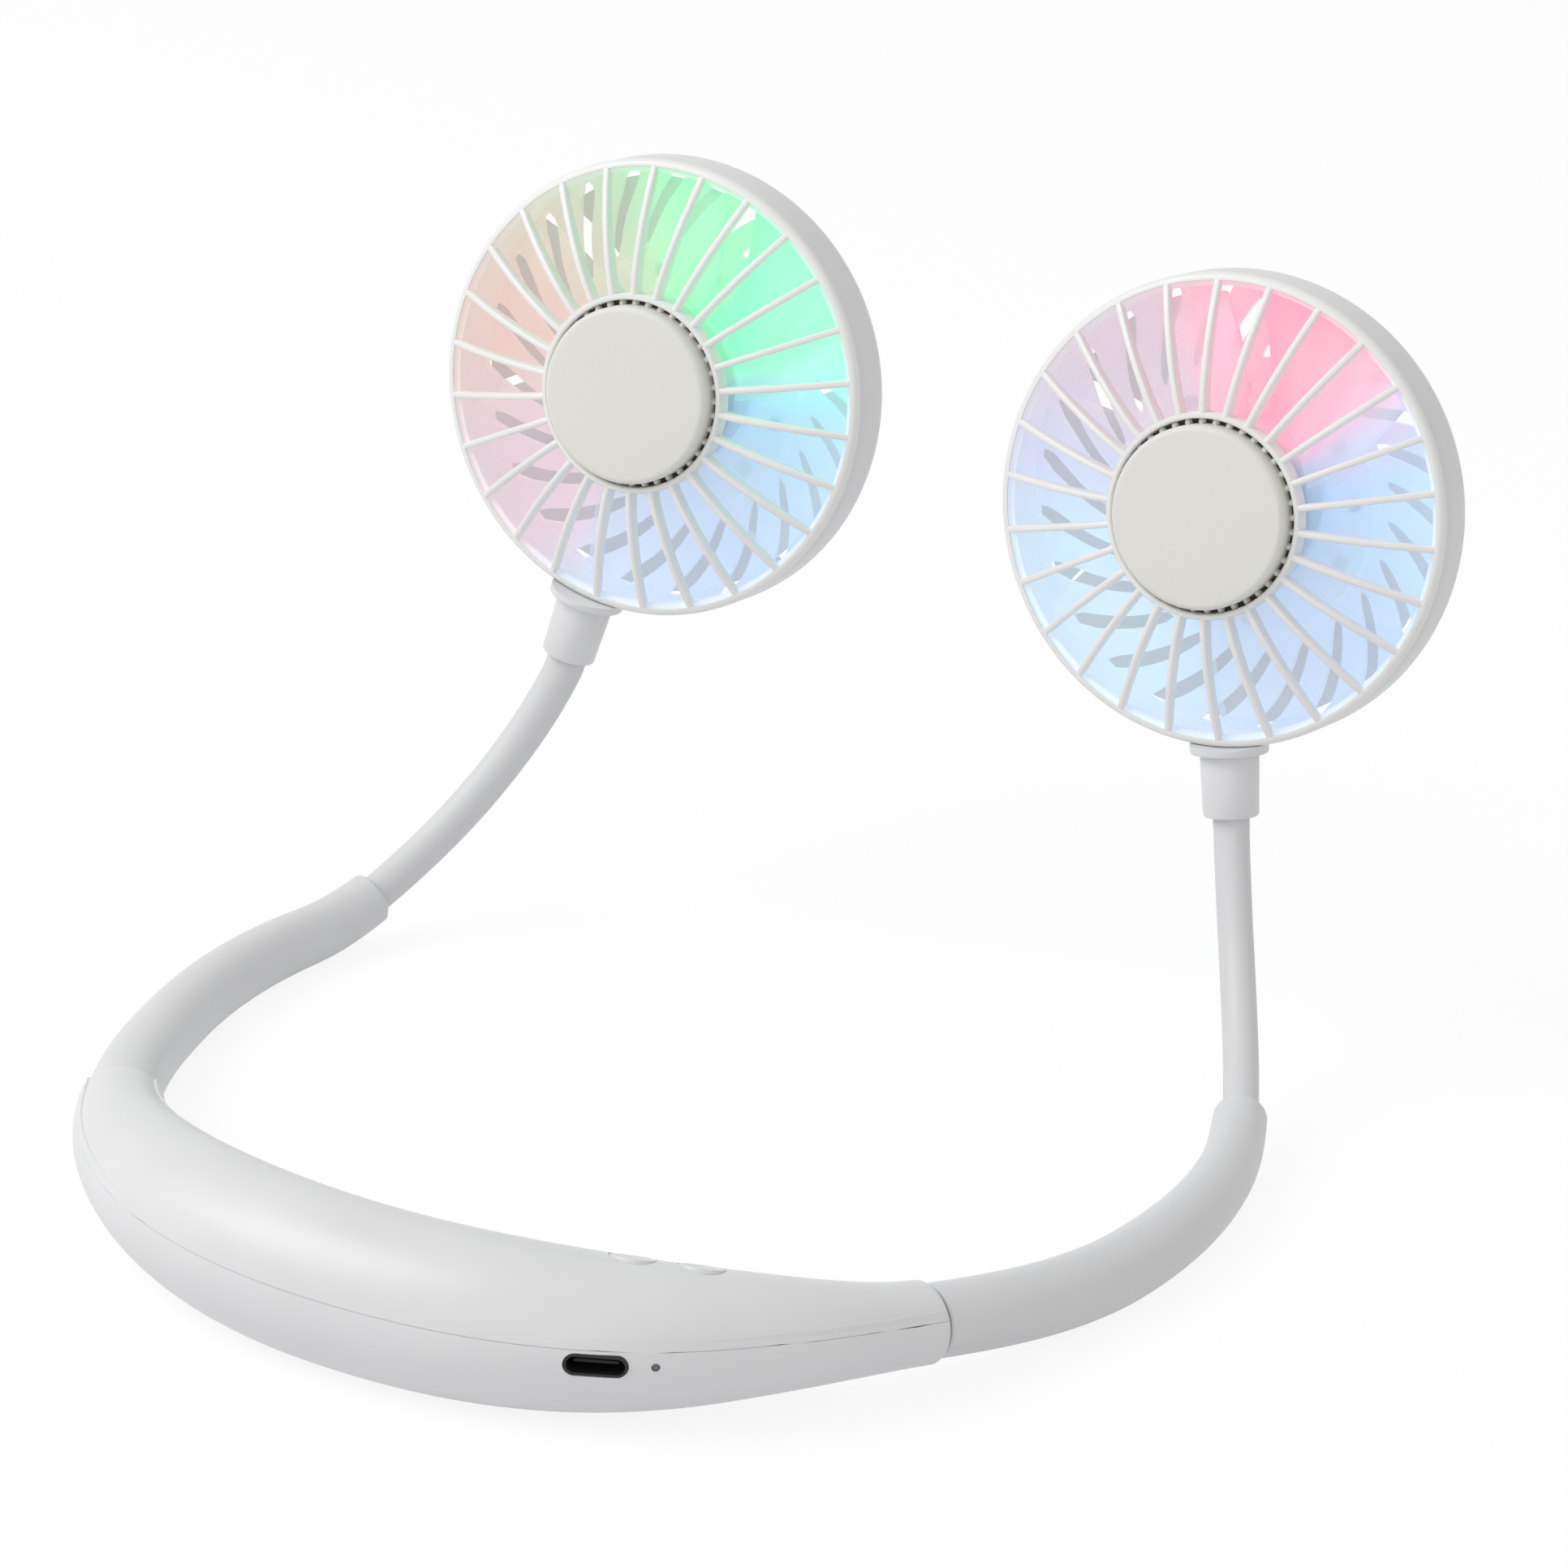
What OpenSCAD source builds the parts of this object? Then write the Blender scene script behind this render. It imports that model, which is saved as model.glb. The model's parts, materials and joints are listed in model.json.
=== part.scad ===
/* [Battery housing] */
// Length of the housing along its curved centre line, from seam to seam
housing_len = 167; // [150:1:185]
// Angle that each end of the housing has turned forward, in degrees
housing_turn = 62; // [52:1:66]
// Front-to-back thickness of the housing at its middle
housing_depth = 24.6; // [23.6:0.2:28]
// Height of the housing at its middle
housing_height = 25; // [24:0.2:28]
// Thickness at the ends of the housing
housing_end_depth = 13.4; // [13:0.2:15]
// Height at the ends of the housing
housing_end_height = 12.2; // [12:0.2:14]
// Wall of the two housing shells
shell_wall = 1.5; // [1.2:0.1:1.8]
// Height of the line where the two shells meet, above the centre line
parting_rise = 2.8; // [2.4:0.1:3.4]
// Depth of the flat on which the housing rests
rest_flat = 0.4; // [0.2:0.1:0.6]

/* [Battery and circuit board] */
// Length of a battery cell
cell_len = 30; // [26:0.5:31]
// Width of a battery cell
cell_w = 11.5; // [9:0.5:12]
// Height of a battery cell
cell_h = 10; // [8:0.5:10.5]
// Place of the circuit board's near end along the housing, from its middle
board_start = 18.5; // [17:0.5:20]
// Length of the circuit board
board_len = 45; // [43:1:48]
// Thickness of the circuit board
board_t = 1.2; // [1:0.1:1.6]

/* [Charging port, light and buttons] */
// Place of the port along the housing, from its middle
port_along = 34; // [32:0.5:35]
// Height of the port's centre above the centre line
port_rise = 0.6; // [0.4:0.1:0.8]
// Width of the port opening
port_w = 9.4; // [9.2:0.1:10]
// Height of the port opening
port_h = 3.5; // [3.4:0.1:3.8]
// Distance from the port to the charging light
light_along = 7.4; // [7:0.1:9]
// Diameter of the charging light
light_d = 1.2; // [1:0.1:1.6]
// Place of the middle between the two buttons along the housing
button_along = 43; // [41:0.5:45]
// Distance between the two buttons
button_gap = 10; // [9.8:0.2:12]
// Diameter of a button
button_d = 7; // [6:0.2:7.4]
// Lean of the buttons towards the neck, in degrees
button_lean = 22; // [10:1:26]
// Travel of a push button
button_travel = 0.4; // [0.3:0.05:0.5]

/* [Arms] */
// Length of an arm along its centre line
arm_len = 99.5; // [90:0.5:112]
// Direction of the arm's end, in degrees from the middle of the housing
arm_turn = 109; // [100:1:116]
// Width of an arm at its root
arm_root_w = 11.8; // [11.6:0.1:12.6]
// Width of an arm at its end
arm_end_w = 8.6; // [8.4:0.1:9.6]
// Height of an arm where it lies flat
arm_h = 11.1; // [10.9:0.1:12]
// Height of an arm at its end
arm_end_h = 9.6; // [9.4:0.1:10.4]
// Rise of the arm's end above the part that lies flat
arm_rise = 3.4; // [2:0.1:5]
// Wall of an arm's cover
arm_wall = 1.4; // [1.2:0.1:1.5]
// Groove between the housing and an arm
seam_gap = 0.7; // [0.6:0.05:1]

/* [Necks] */
// Length of a bendable neck between the arm and its socket
neck_len = 55; // [50:1:64]
// Width of a neck
neck_w = 5.8; // [5.6:0.1:6.2]
// Height of a neck
neck_h = 6.8; // [6.6:0.1:7]
// Wall of a neck's cover
neck_wall = 0.6; // [0.5:0.05:0.7]
// Diameter of the steel core in a neck
core_d = 2.8; // [2.6:0.1:3]

/* [Sockets] */
// Length of the socket between the neck and the fan head
socket_len = 10.4; // [10:0.1:12]
// Diameter at the top of a socket
socket_top_d = 9.8; // [9.6:0.1:10.6]
// Diameter at the bottom of a socket
socket_low_d = 9.2; // [9:0.1:9.6]
// Diameter of the pin on which the head swivels
pin_d = 4.4; // [4:0.1:4.8]
// Diameter of the flange below the drum
flange_d = 13; // [12.6:0.1:13.6]
// Distance from the drum to the bottom of the flange
flange_drop = 1.2; // [1:0.1:1.6]

/* [Fan heads] */
// Diameter of the opening that the grille covers
opening_d = 75; // [74:0.5:82]
// Wall of the drum round the fan
drum_wall = 1.3; // [1.2:0.1:1.6]
// Depth of the drum
drum_depth = 15; // [15:0.1:18]
// Radius of the rounded rear edge
rear_round = 6.2; // [5.6:0.1:7]
// Diameter inside the ring in the middle of the grille
hub_ring_d = 31.8; // [31:0.1:33]
// Height of the grille's dome above its rim
dome_h = 6.6; // [6:0.1:8]
// Number of ribs in the grille
rib_count = 26; // [20:1:30]
// Thickness of a rib
rib_w = 1.15; // [0.9:0.05:1.3]
// Depth of a rib at the middle of the grille
rib_depth = 3; // [2.6:0.1:3.4]
// Number of slots in the rear face
slot_count = 24; // [18:1:26]
// Width of a slot at its outer end
slot_w = 3.6; // [3:0.1:4]
// Number of fan blades
blade_count = 6; // [5:1:7]
// Diameter of the fan's hub
hub_d = 31; // [30:0.1:31.6]
// Gap between the blade tips and the opening's edge
tip_gap = 2; // [1.8:0.1:3]
// Diameter of the motor shaft
shaft_d = 2; // [1.6:0.1:2.4]

/* [Pose] */
// Direction of the right neck at five stations, in degrees from the middle of the housing
right_neck_turns = [112, 116, 120, 125, 132];
// Rise of the right neck at five stations, in degrees
right_neck_rises = [15, 29, 44, 59, 73];
// Direction and rise of the right socket, in degrees
right_socket_way = [141, 77];
// Direction that the right fan faces, in degrees outward from straight back
right_face_turn = -0.5; // [-30:0.5:30]
// Direction of the left neck at five stations, in degrees from the middle of the housing
left_neck_turns = [113, 119, 127, 135, 143];
// Rise of the left neck at five stations, in degrees
left_neck_rises = [28, 37, 48, 57, 67];
// Direction and rise of the left socket, in degrees
left_socket_way = [153, 75.5];
// Direction that the left fan faces, in degrees outward from straight back
left_face_turn = 1.5; // [-30:0.5:30]
// Turn of the right grille in its rim, in degrees
right_grille_turn = 1.5; // [0:0.5:13.5]
// Turn of the left grille in its rim, in degrees
left_grille_turn = 10; // [0:0.5:13.5]

/* [Hidden] */

$fn = 48;

// Colours of the plastics, metals and boards
plastic_white = [0.93, 0.93, 0.93];
cap_white = [0.88, 0.875, 0.85];
clear_tint = [0.75, 0.86, 0.96, 0.6];
steel = [0.62, 0.64, 0.67];
bright_steel = [0.8, 0.81, 0.83];
copper = [0.75, 0.42, 0.2];
board_green = [0.1, 0.38, 0.22];
cell_silver = [0.7, 0.72, 0.75];
lead_red = [0.7, 0.12, 0.1];

// Overrun of every cut, and the clearances between pieces
over = 0.5;
soft_gap = 0.3;
slip_gap = 0.05;
run_gap = 0.02;

// The centre line: half the housing, then an arm, in plan and in height
half = housing_len / 2;
path_len = half + arm_len;
path_steps = 90;
path_step = path_len / path_steps;
housing_bend_power = 1.1;
arm_bend_power = 1.2;
rest_level = housing_height / 2 - rest_flat;
drop_start_share = 0.6;
drop_end_share = 0.45;
rise_start_share = 0.84;
drop_start = half * drop_start_share;
drop_end = half + arm_len * drop_end_share;
rise_start = half + arm_len * rise_start_share;
arm_root = half + seam_gap / 2;
depth_power = 1.8;
height_power = 1.45;

// Small sizes in the housing
shell_stations = 34;
shell_arc_steps = 13;
parting_gap = 0.04;
rib_t = 1.6;
cell_gap = 2.8;
cell_rib_share = 0.3;
cell_rib_along = cell_len * cell_rib_share;
lead_d = 1;
lead_lap = 3;
lead_apart = 4;
usb_w = 8.9;
usb_h = 3.2;
usb_len = 7.3;
usb_wall = 0.35;
usb_tongue = 0.7;
usb_inset = 0.7;
light_reach = 7;
light_inset = 0.15;
screw_d = 1.4;
screw_head_d = 3;
screw_head_h = 1;
screw_len = 5;
boss_d = 4.2;
screw_inset = 5.5;
button_rim = 0.7;
button_rim_t = 0.8;
button_seat = 1.3;
button_play = 0.12;
dish_depth = 0.25;
dish_r = 20;
switch_w = 3.4;
switch_h = 1.4;
plunger_d = 1.6;
plunger_h = 0.5;
riser_t = 1;
riser_leg_d = 2;
board_width_share = 0.62;
board_steps = 8;

// Small sizes in the arms and necks
arm_stations = 24;
arm_sides = 20;
arm_crease_share = 0.12;
arm_bevel = 0.8;
pivot_ball_d = 7.2;
pivot_len = 5;
coupler_d = 7.8;
coupler_len = 9;
seat_start = 1.1;
coupler_seat = 1.3;
motor_lead_d = 1.2;
neck_tail = 2.2;
neck_inset = 3;
neck_sides = 14;
core_sides = 8;
neck_steps = 14;
neck_run = neck_len - 2 * neck_tail;
joint_shares = [0, 1 / 3, 2 / 3, 1];

// Small sizes in the sockets
recess_len = 2.4;
tip_seat = 3;
web_h = 2.2;
chamber_h = 1.8;
chamber_d = 7;
clip_d = 6.4;
clip_t = 0.9;
clip_groove = 0.5;
clip_mouth = 3;
pin_end = 0.5;
socket_bevel = 0.4;
flange_h = 2.7;
stem_back = 2.5;

// Levels and radii in a fan head, measured from the rim's plane and the fan's axis
opening_r = opening_d / 2;
drum_r = opening_r + drum_wall;
rim_t = 1.6;
lip_t = 0.8;
lip_len = 1.8;
plate_level = -drum_depth + drum_wall;
round_level = -drum_depth + rear_round;
head_reach = drum_r + flange_drop;
ring_w = 1;
ring_r = hub_ring_d / 2;
dome_power = 1.7;
dome_steps = 8;
rib_end_depth = 1.5;
cap_gap = 0.9;
cap_t = 4.2;
cap_proud = 2.4;
cap_edge = 1;
cap_wall = 1.2;
tooth_count = 40;
tooth_w = 1.2;
tooth_h = 1;
slot_in_r = 24;
slot_end_gap = 0.2;
slot_in_w = 2.2;
slot_sweep = 20;
slot_steps = 5;
slot_rise = 4.3;
light_board_t = 1;
light_board_d = 44;
light_board_level = plate_level + slip_gap + light_board_t;
lamp_count = 6;
lamp_w = 2.2;
lamp_t = 0.9;
lamp_r = 19;
head_screw_count = 3;
head_screw_d = 1.3;
head_screw_head_d = 2.4;
head_screw_head_h = 0.8;
head_screw_inset = 0.2;
head_screw_low = plate_level - drum_wall + head_screw_inset;
tube_d = 8.4;
tube_h = 5.3;
bearing_d = 6;
bearing_t = 2;
hub_wall = 1.5;
hub_plate_t = 1.4;
hub_edge = 1;
hub_boss_d = 6;
hub_boss_h = 3;
fan_front = -3.2;
hub_lift = 0.6;
fan_back = light_board_level + hub_lift;
rotor_w = 1.5;
rotor_h = 6;
rotor_r = hub_d / 2 - hub_wall - run_gap;
air_gap = 0.4;
stator_r = rotor_r - rotor_w - air_gap;
stator_h = 3.2;
pole_count = 9;
pole_w = 2;
yoke_t = 1.2;
yoke_r = tube_d / 2 + yoke_t;
shoe_t = 0.9;
shoe_gap = 1.4;
coil_t = 0.55;
coil_gap = 0.2;
coil_len = stator_r - shoe_t - yoke_r - 2 * coil_gap;
coil_r = yoke_r + coil_gap + coil_len / 2;
stator_level = light_board_level + coil_t + 2 * slip_gap;
blade_t = 1;
blade_span = 46;
blade_turn = 19;
blade_sweep = 14;
blade_rise = 7.2;
blade_radial = 4;
blade_chord = 4;
blade_lift = 0.8;
blade_back_level = fan_back + blade_lift;

edge_share = 0.3;

// General functions
function ease(t) = let(u = min(max(t, 0), 1)) u * u * (3 - 2 * u);
function mix(a, b, t) = a + (b - a) * t;
function unit(v) = v / norm(v);
function spread(values, t) =
    let(k = min(max(t, 0), 1) * (len(values) - 1), i = min(floor(k), len(values) - 2))
    mix(values[i], values[i + 1], k - i);

// A direction from its heading and rise, with the directions to its right and above it
function way(h, e) = [cos(h) * cos(e), sin(h) * cos(e), sin(e)];
function across(h) = [sin(h), -cos(h), 0];
function above(h, e) = [-cos(h) * sin(e), -sin(h) * sin(e), cos(e)];
function heading(v) = atan2(v.y, v.x);
function rise(v) = atan2(v.z, norm([v.x, v.y]));

// A station is a point with a heading and a rise; the left side mirrors the right
function flip(side, st) = side > 0 ? st : [[-st[0].x, st[0].y, st[0].z], 180 - st[1], st[2]];
function place(p, x, y, z) = [
    [x.x, y.x, z.x, p.x],
    [x.y, y.y, z.y, p.y],
    [x.z, y.z, z.z, p.z],
    [0, 0, 0, 1],
];
function frame(st) = place(st[0], way(st[1], st[2]), -across(st[1]), above(st[1], st[2]));

// Heading and height of the centre line at a distance from the housing's middle
function turn_at(s) = s < 0 ? -turn_at(-s)
    : s <= half ? housing_turn * pow(s / half, housing_bend_power)
    : housing_turn + (arm_turn - housing_turn) * pow((s - half) / arm_len, arm_bend_power);
function level_at(s) =
    mix(rest_level, arm_half_h(arm_t(abs(s))), ease((abs(s) - drop_start) / (drop_end - drop_start)))
    + arm_rise * pow(max(0, (abs(s) - rise_start) / (path_len - rise_start)), 2);
plan = [
    for (i = 0, p = [0, 0]; i <= path_steps + 1;
        p = p + path_step * [cos(turn_at((i + 0.5) * path_step)), sin(turn_at((i + 0.5) * path_step))],
        i = i + 1) p
];
function plan_at(s) = let(k = abs(s) / path_step, i = floor(k), p = mix(plan[i], plan[i + 1], k - i))
    [sign(s) * p.x, p.y];
function station(s) = let(p = plan_at(s)) [
    [p.x, p.y, level_at(s)],
    turn_at(s),
    atan2(level_at(s + path_step) - level_at(s - path_step), 2 * path_step)
];

// Half sizes of the housing and of an arm
function half_depth(s) =
    mix(housing_depth, housing_end_depth, ease(pow(abs(s) / half, depth_power))) / 2;
function half_height(s) =
    mix(housing_height, housing_end_height, ease(pow(abs(s) / half, height_power))) / 2;
function arm_t(s) = min(max((s - arm_root) / (path_len - arm_root), 0), 1);
function arm_half_w(t) = mix(arm_root_w, arm_end_w, t * t) / 2;
function arm_half_h(t) = mix(arm_h, arm_end_h, t * t * t) / 2;

// Distance from the centre line to the housing's skin, at an angle from the vertical
function skin(s, lean) = 1 / norm([sin(lean) / half_depth(s), cos(lean) / half_height(s)]);

// Sections: an oval, and an oval with a crease at both sides
function oval(a, b, sides) = [for (i = [0:sides - 1]) [a * cos(360 * i / sides), b * sin(360 * i / sides)]];
function creased(a, b, share, sides) =
    let(tall = b / (1 - share), lift = tall * share, start = asin(share), wide = a / cos(start))
    [for (i = [0:sides - 1])
        let(up = i < sides / 2, k = up ? i : i - sides / 2, g = start + (180 - 2 * start) * k / (sides / 2))
        up ? [wide * cos(g), tall * sin(g) - lift] : [-wide * cos(g), lift - tall * sin(g)]];
// A shell's section between two heights of the parting line
function shell_arc(a, b, p, top) =
    let(g = asin(p / b), g0 = top ? g : 180 - g, g1 = top ? 180 - g : 360 + g)
    [for (i = [0:shell_arc_steps]) let(q = mix(g0, g1, i / shell_arc_steps)) [a * cos(q), b * sin(q)]];
function shell_section(s, top) =
    let(a = half_depth(s), b = half_height(s), p = parting_rise + (top ? parting_gap : -parting_gap) / 2,
        inner = shell_arc(a - shell_wall, b - shell_wall, p, top))
    concat(shell_arc(a, b, p, top), [for (i = [len(inner) - 1:-1:0]) inner[i]]);

// Solids swept through stations, full or hollow. A full one's ends are closed in strips from side to side
function ring(st, section) =
    [for (q = section) st[0] + q.x * across(st[1]) + q.y * above(st[1], st[2])];
module swept(rings) {
    n = len(rings[0]);
    last = (len(rings) - 1) * n;
    polyhedron(
        points = [for (r = rings) for (p = r) p],
        faces = concat(
            [for (j = [0:n / 2 - 2]) [n - 1 - j, n - 2 - j, j + 1, j]],
            [for (i = [0:len(rings) - 2]) for (j = [0:n - 1]) for (half_face = [0, 1])
                let(a = i * n + j, b = i * n + (j + 1) % n, c = b + n, d = a + n)
                half_face == 0 ? [a, b, c] : [a, c, d]],
            [for (j = [0:n / 2 - 2]) [last + j, last + j + 1, last + n - 2 - j, last + n - 1 - j]]
        )
    );
}
module swept_hollow(outer, inner) {
    n = len(outer[0]);
    rows = len(outer);
    size = rows * n;
    polyhedron(
        points = concat([for (r = outer) for (p = r) p], [for (r = inner) for (p = r) p]),
        faces = concat(
            [for (i = [0:rows - 2]) for (j = [0:n - 1]) for (half_face = [0, 1])
                let(a = i * n + j, b = i * n + (j + 1) % n, c = b + n, d = a + n)
                half_face == 0 ? [a, b, c] : [a, c, d]],
            [for (i = [0:rows - 2]) for (j = [0:n - 1]) for (half_face = [0, 1])
                let(a = size + i * n + j, b = size + i * n + (j + 1) % n, c = b + n, d = a + n)
                half_face == 0 ? [a, c, b] : [a, d, c]],
            [for (j = [0:n - 1]) for (half_face = [0, 1])
                let(a = j, b = (j + 1) % n, c = size + b, d = size + a)
                half_face == 0 ? [a, d, c] : [a, c, b]],
            [for (j = [0:n - 1]) for (half_face = [0, 1])
                let(a = size - n + j, b = size - n + (j + 1) % n, c = size + b, d = size + a)
                half_face == 0 ? [a, b, c] : [a, c, d]]
        )
    );
}

// Places for children: on a side's centre line, on the housing, along X, and on a stem or head
module on_path(side, s) {
    multmatrix(frame(flip(side, station(s)))) children();
}
// The same place, level with the circuit board
module on_board(s) {
    multmatrix(frame([station(s)[0], turn_at(s), 0])) children();
}
module forward() {
    rotate([0, 90, 0]) children();
}
module backward_hole() {
    rotate([90, 0, 0]) children();
}
module pill(w, h, length) {
    linear_extrude(length) {
        square([w - h, h], center = true);
        for (x = [-1, 1]) translate([x * (w - h) / 2, 0]) circle(d = h);
    }
}

// Housing
function shell_rings(top) = [
    for (i = [0:shell_stations])
        let(s = mix(-1, 1, i / shell_stations) * (half - seam_gap / 2))
        ring(station(s), shell_section(s, top))
];
board_level = rest_level + port_rise - usb_h / 2;
function board_top(s) = board_level - level_at(s);
screw_places = [board_start + screw_inset, board_start + board_len - screw_inset];
cell_places = [0, -cell_len - cell_gap];
button_skin = skin(button_along, button_lean);
button_rim_top = button_skin - shell_wall - button_seat;
riser_top = button_rim_top - button_rim_t - button_travel - slip_gap - plunger_h - switch_h;
riser_mid = riser_top - riser_t / 2;

// The buttons share one axis direction, square to the shell between them
button_pitch = atan2(
    half_height(button_along - path_step) - half_height(button_along + path_step),
    2 * path_step
);
module buttons_place() {
    on_board(button_along) rotate([-button_lean, 0, 0]) translate([0, 0, button_skin])
        rotate([0, button_pitch, 0]) translate([0, 0, -button_skin]) children();
}
module upper_shell() {
    color(plastic_white) difference() {
        swept(shell_rings(true));
        buttons_place() for (x = [-1, 1]) translate([x * button_gap / 2, 0, button_rim_top])
            cylinder(h = button_skin, d = button_d + 2 * button_play);
    }
}
module lower_shell() {
    color(plastic_white) difference() {
        union() {
            swept(shell_rings(false));
            for (s = screw_places) on_board(s) {
                foot = half_height(s) - shell_wall + soft_gap;
                translate([0, 0, -foot]) cylinder(h = foot + board_top(s) - board_t - run_gap, d = boss_d);
            }
            for (s = cell_places) cell_ribs(s);
        }
        for (s = screw_places) on_board(s) translate([0, 0, board_top(s) - screw_len - slip_gap])
            cylinder(h = screw_len, d = screw_d + 2 * run_gap);
        on_board(port_along) translate([0, -half_depth(port_along) / 2, port_rise])
            backward_hole() pill(port_w, port_h, half_depth(port_along));
        on_board(port_along + light_along) translate([0, -half_depth(port_along) / 2, port_rise])
            backward_hole() cylinder(h = half_depth(port_along), d = light_d + 2 * slip_gap);
        translate([-housing_len, -housing_len, -housing_height])
            cube([2 * housing_len, 2 * housing_len, housing_height]);
    }
}
// Two cross ribs on which a battery cell lies
module cell_ribs(s) {
    for (x = [-1, 1]) on_path(1, s + x * cell_rib_along) {
        foot = half_height(s + x * cell_rib_along) - shell_wall + soft_gap;
        translate([-rib_t / 2, -cell_w / 4, -foot]) cube([rib_t, cell_w / 2, foot - cell_h / 2 - slip_gap]);
    }
}
module battery_cells() {
    color(cell_silver) for (s = cell_places) on_path(1, s) cube([cell_len, cell_w, cell_h], center = true);
}
// Two leads from the near cell onto the board, and one between the cells
module battery_leads() {
    start = cell_len / 2 + soft_gap;
    color(lead_red) {
        for (y = [-1, 1]) translate([start, y * lead_apart / 2, board_level + lead_d / 2 + slip_gap])
            forward() cylinder(h = board_start - start + lead_lap, d = lead_d);
        on_path(1, -(cell_len + cell_gap) / 2) translate([soft_gap - cell_gap / 2, 0, 0])
            forward() cylinder(h = cell_gap - 2 * soft_gap, d = lead_d);
    }
}
function board_half(s) = (half_depth(s) - shell_wall) * board_width_share;
function board_edge(s, side) = plan_at(s) + side * board_half(s) * [sin(turn_at(s)), -cos(turn_at(s))];
module circuit_board() {
    places = [for (i = [0:board_steps]) board_start + board_len * i / board_steps];
    color(board_green) difference() {
        translate([0, 0, board_level - board_t]) linear_extrude(board_t) polygon(concat(
            [for (s = places) board_edge(s, 1)],
            [for (i = [board_steps:-1:0]) board_edge(places[i], -1)]
        ));
        for (s = screw_places) on_board(s) translate([0, 0, board_top(s) - 2 * board_t])
            cylinder(h = 3 * board_t, d = screw_d + 2 * slip_gap);
    }
}
module board_screws() {
    color(bright_steel) for (s = screw_places) on_board(s) translate([0, 0, board_top(s) + slip_gap]) {
        cylinder(h = screw_head_h, d = screw_head_d);
        translate([0, 0, -screw_len]) cylinder(h = screw_len + over, d = screw_d);
    }
}
// The port's shell stands on the board, with a tongue inside
module usb_socket() {
    mouth = half_depth(port_along) - usb_inset;
    color(steel) on_board(port_along) translate([0, -mouth, port_rise]) rotate([-90, 0, 0]) {
        difference() {
            pill(usb_w, usb_h - slip_gap, usb_len);
            translate([0, 0, -over]) pill(usb_w - 2 * usb_wall, usb_h - 2 * usb_wall, usb_len - usb_wall);
        }
        translate([-usb_w / 2 + usb_h / 2, -usb_tongue / 2, usb_inset])
            cube([usb_w - usb_h, usb_tongue, usb_len - 2 * usb_wall]);
    }
}
module charge_light() {
    s = port_along + light_along;
    color(plastic_white) on_board(s) {
        translate([0, -half_depth(s) + light_inset, port_rise]) rotate([-90, 0, 0])
            cylinder(h = light_reach, d = light_d);
        leg_y = light_reach - half_depth(s) + light_inset - light_d;
        translate([-light_d / 2, leg_y, board_top(s) + slip_gap])
            cube([light_d, light_d, port_rise - board_top(s)]);
    }
}
// A button's cap with its rim below the shell and a shallow dish on top
module push_button(x) {
    low = button_rim_top - button_rim_t;
    color(plastic_white) buttons_place() translate([x * button_gap / 2, 0, 0]) difference() {
        translate([0, 0, low]) {
            cylinder(h = button_skin - low, d = button_d);
            cylinder(h = button_rim_t, d = button_d + 2 * button_rim);
        }
        translate([0, 0, button_skin + dish_r - dish_depth]) sphere(r = dish_r, $fn = 96);
    }
}
module fan_button() {
    push_button(-1);
}
module light_button() {
    push_button(1);
}
// Two switches on a small riser board that stands on the circuit board
module button_switches() {
    leg_low = board_top(button_along);
    color(steel) {
        buttons_place() {
            translate([-button_gap / 2 - switch_w, -switch_w, riser_top - riser_t])
                cube([button_gap + 2 * switch_w, 2 * switch_w, riser_t]);
            for (x = [-1, 1]) translate([x * button_gap / 2, 0, riser_top - run_gap]) {
                translate([-switch_w / 2, -switch_w / 2, 0]) cube([switch_w, switch_w, switch_h + run_gap]);
                cylinder(h = switch_h + plunger_h + run_gap, d = plunger_d);
            }
        }
        for (x = [-1, 1]) on_board(button_along)
            translate([x * button_gap / 2, sin(button_lean) * riser_mid, leg_low + slip_gap])
            cylinder(h = cos(button_lean) * riser_mid - leg_low, d = riser_leg_d);
    }
}

// Arms
function arm_station(side, s) = flip(side, station(s));
arm_places = concat(
    [for (i = [0:arm_stations - 1]) mix(arm_root, path_len - arm_bevel, i / (arm_stations - 1))],
    [path_len]
);
function arm_outer(s) = let(t = arm_t(s), cut = s < path_len ? 0 : arm_bevel)
    creased(arm_half_w(t) - cut, arm_half_h(t) - cut, arm_crease_share, arm_sides);
function arm_inner(s) = let(u = pow(arm_t(s), 2)) oval(
    mix(arm_root_w / 2 - arm_wall, neck_w / 2 + soft_gap, u),
    mix(arm_h / 2 - arm_wall, neck_h / 2 + soft_gap, u),
    arm_sides
);
module arm_sleeve(side) {
    color(plastic_white) swept_hollow(
        [for (s = arm_places) ring(arm_station(side, s), arm_outer(s))],
        [for (s = arm_places) ring(arm_station(side, s), arm_inner(s))]
    );
}
// The plug that closes a housing end, with the ball on which the arm turns
module arm_pivot(side) {
    a = half_depth(half) - shell_wall - 2 * slip_gap;
    b = half_height(half) - shell_wall - 2 * slip_gap;
    color(steel) on_path(side, half) {
        translate([-seam_gap / 2 - pivot_len, 0, 0]) forward() linear_extrude(pivot_len)
            polygon(oval(b, a, arm_sides));
        sphere(d = pivot_ball_d);
    }
}
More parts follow.
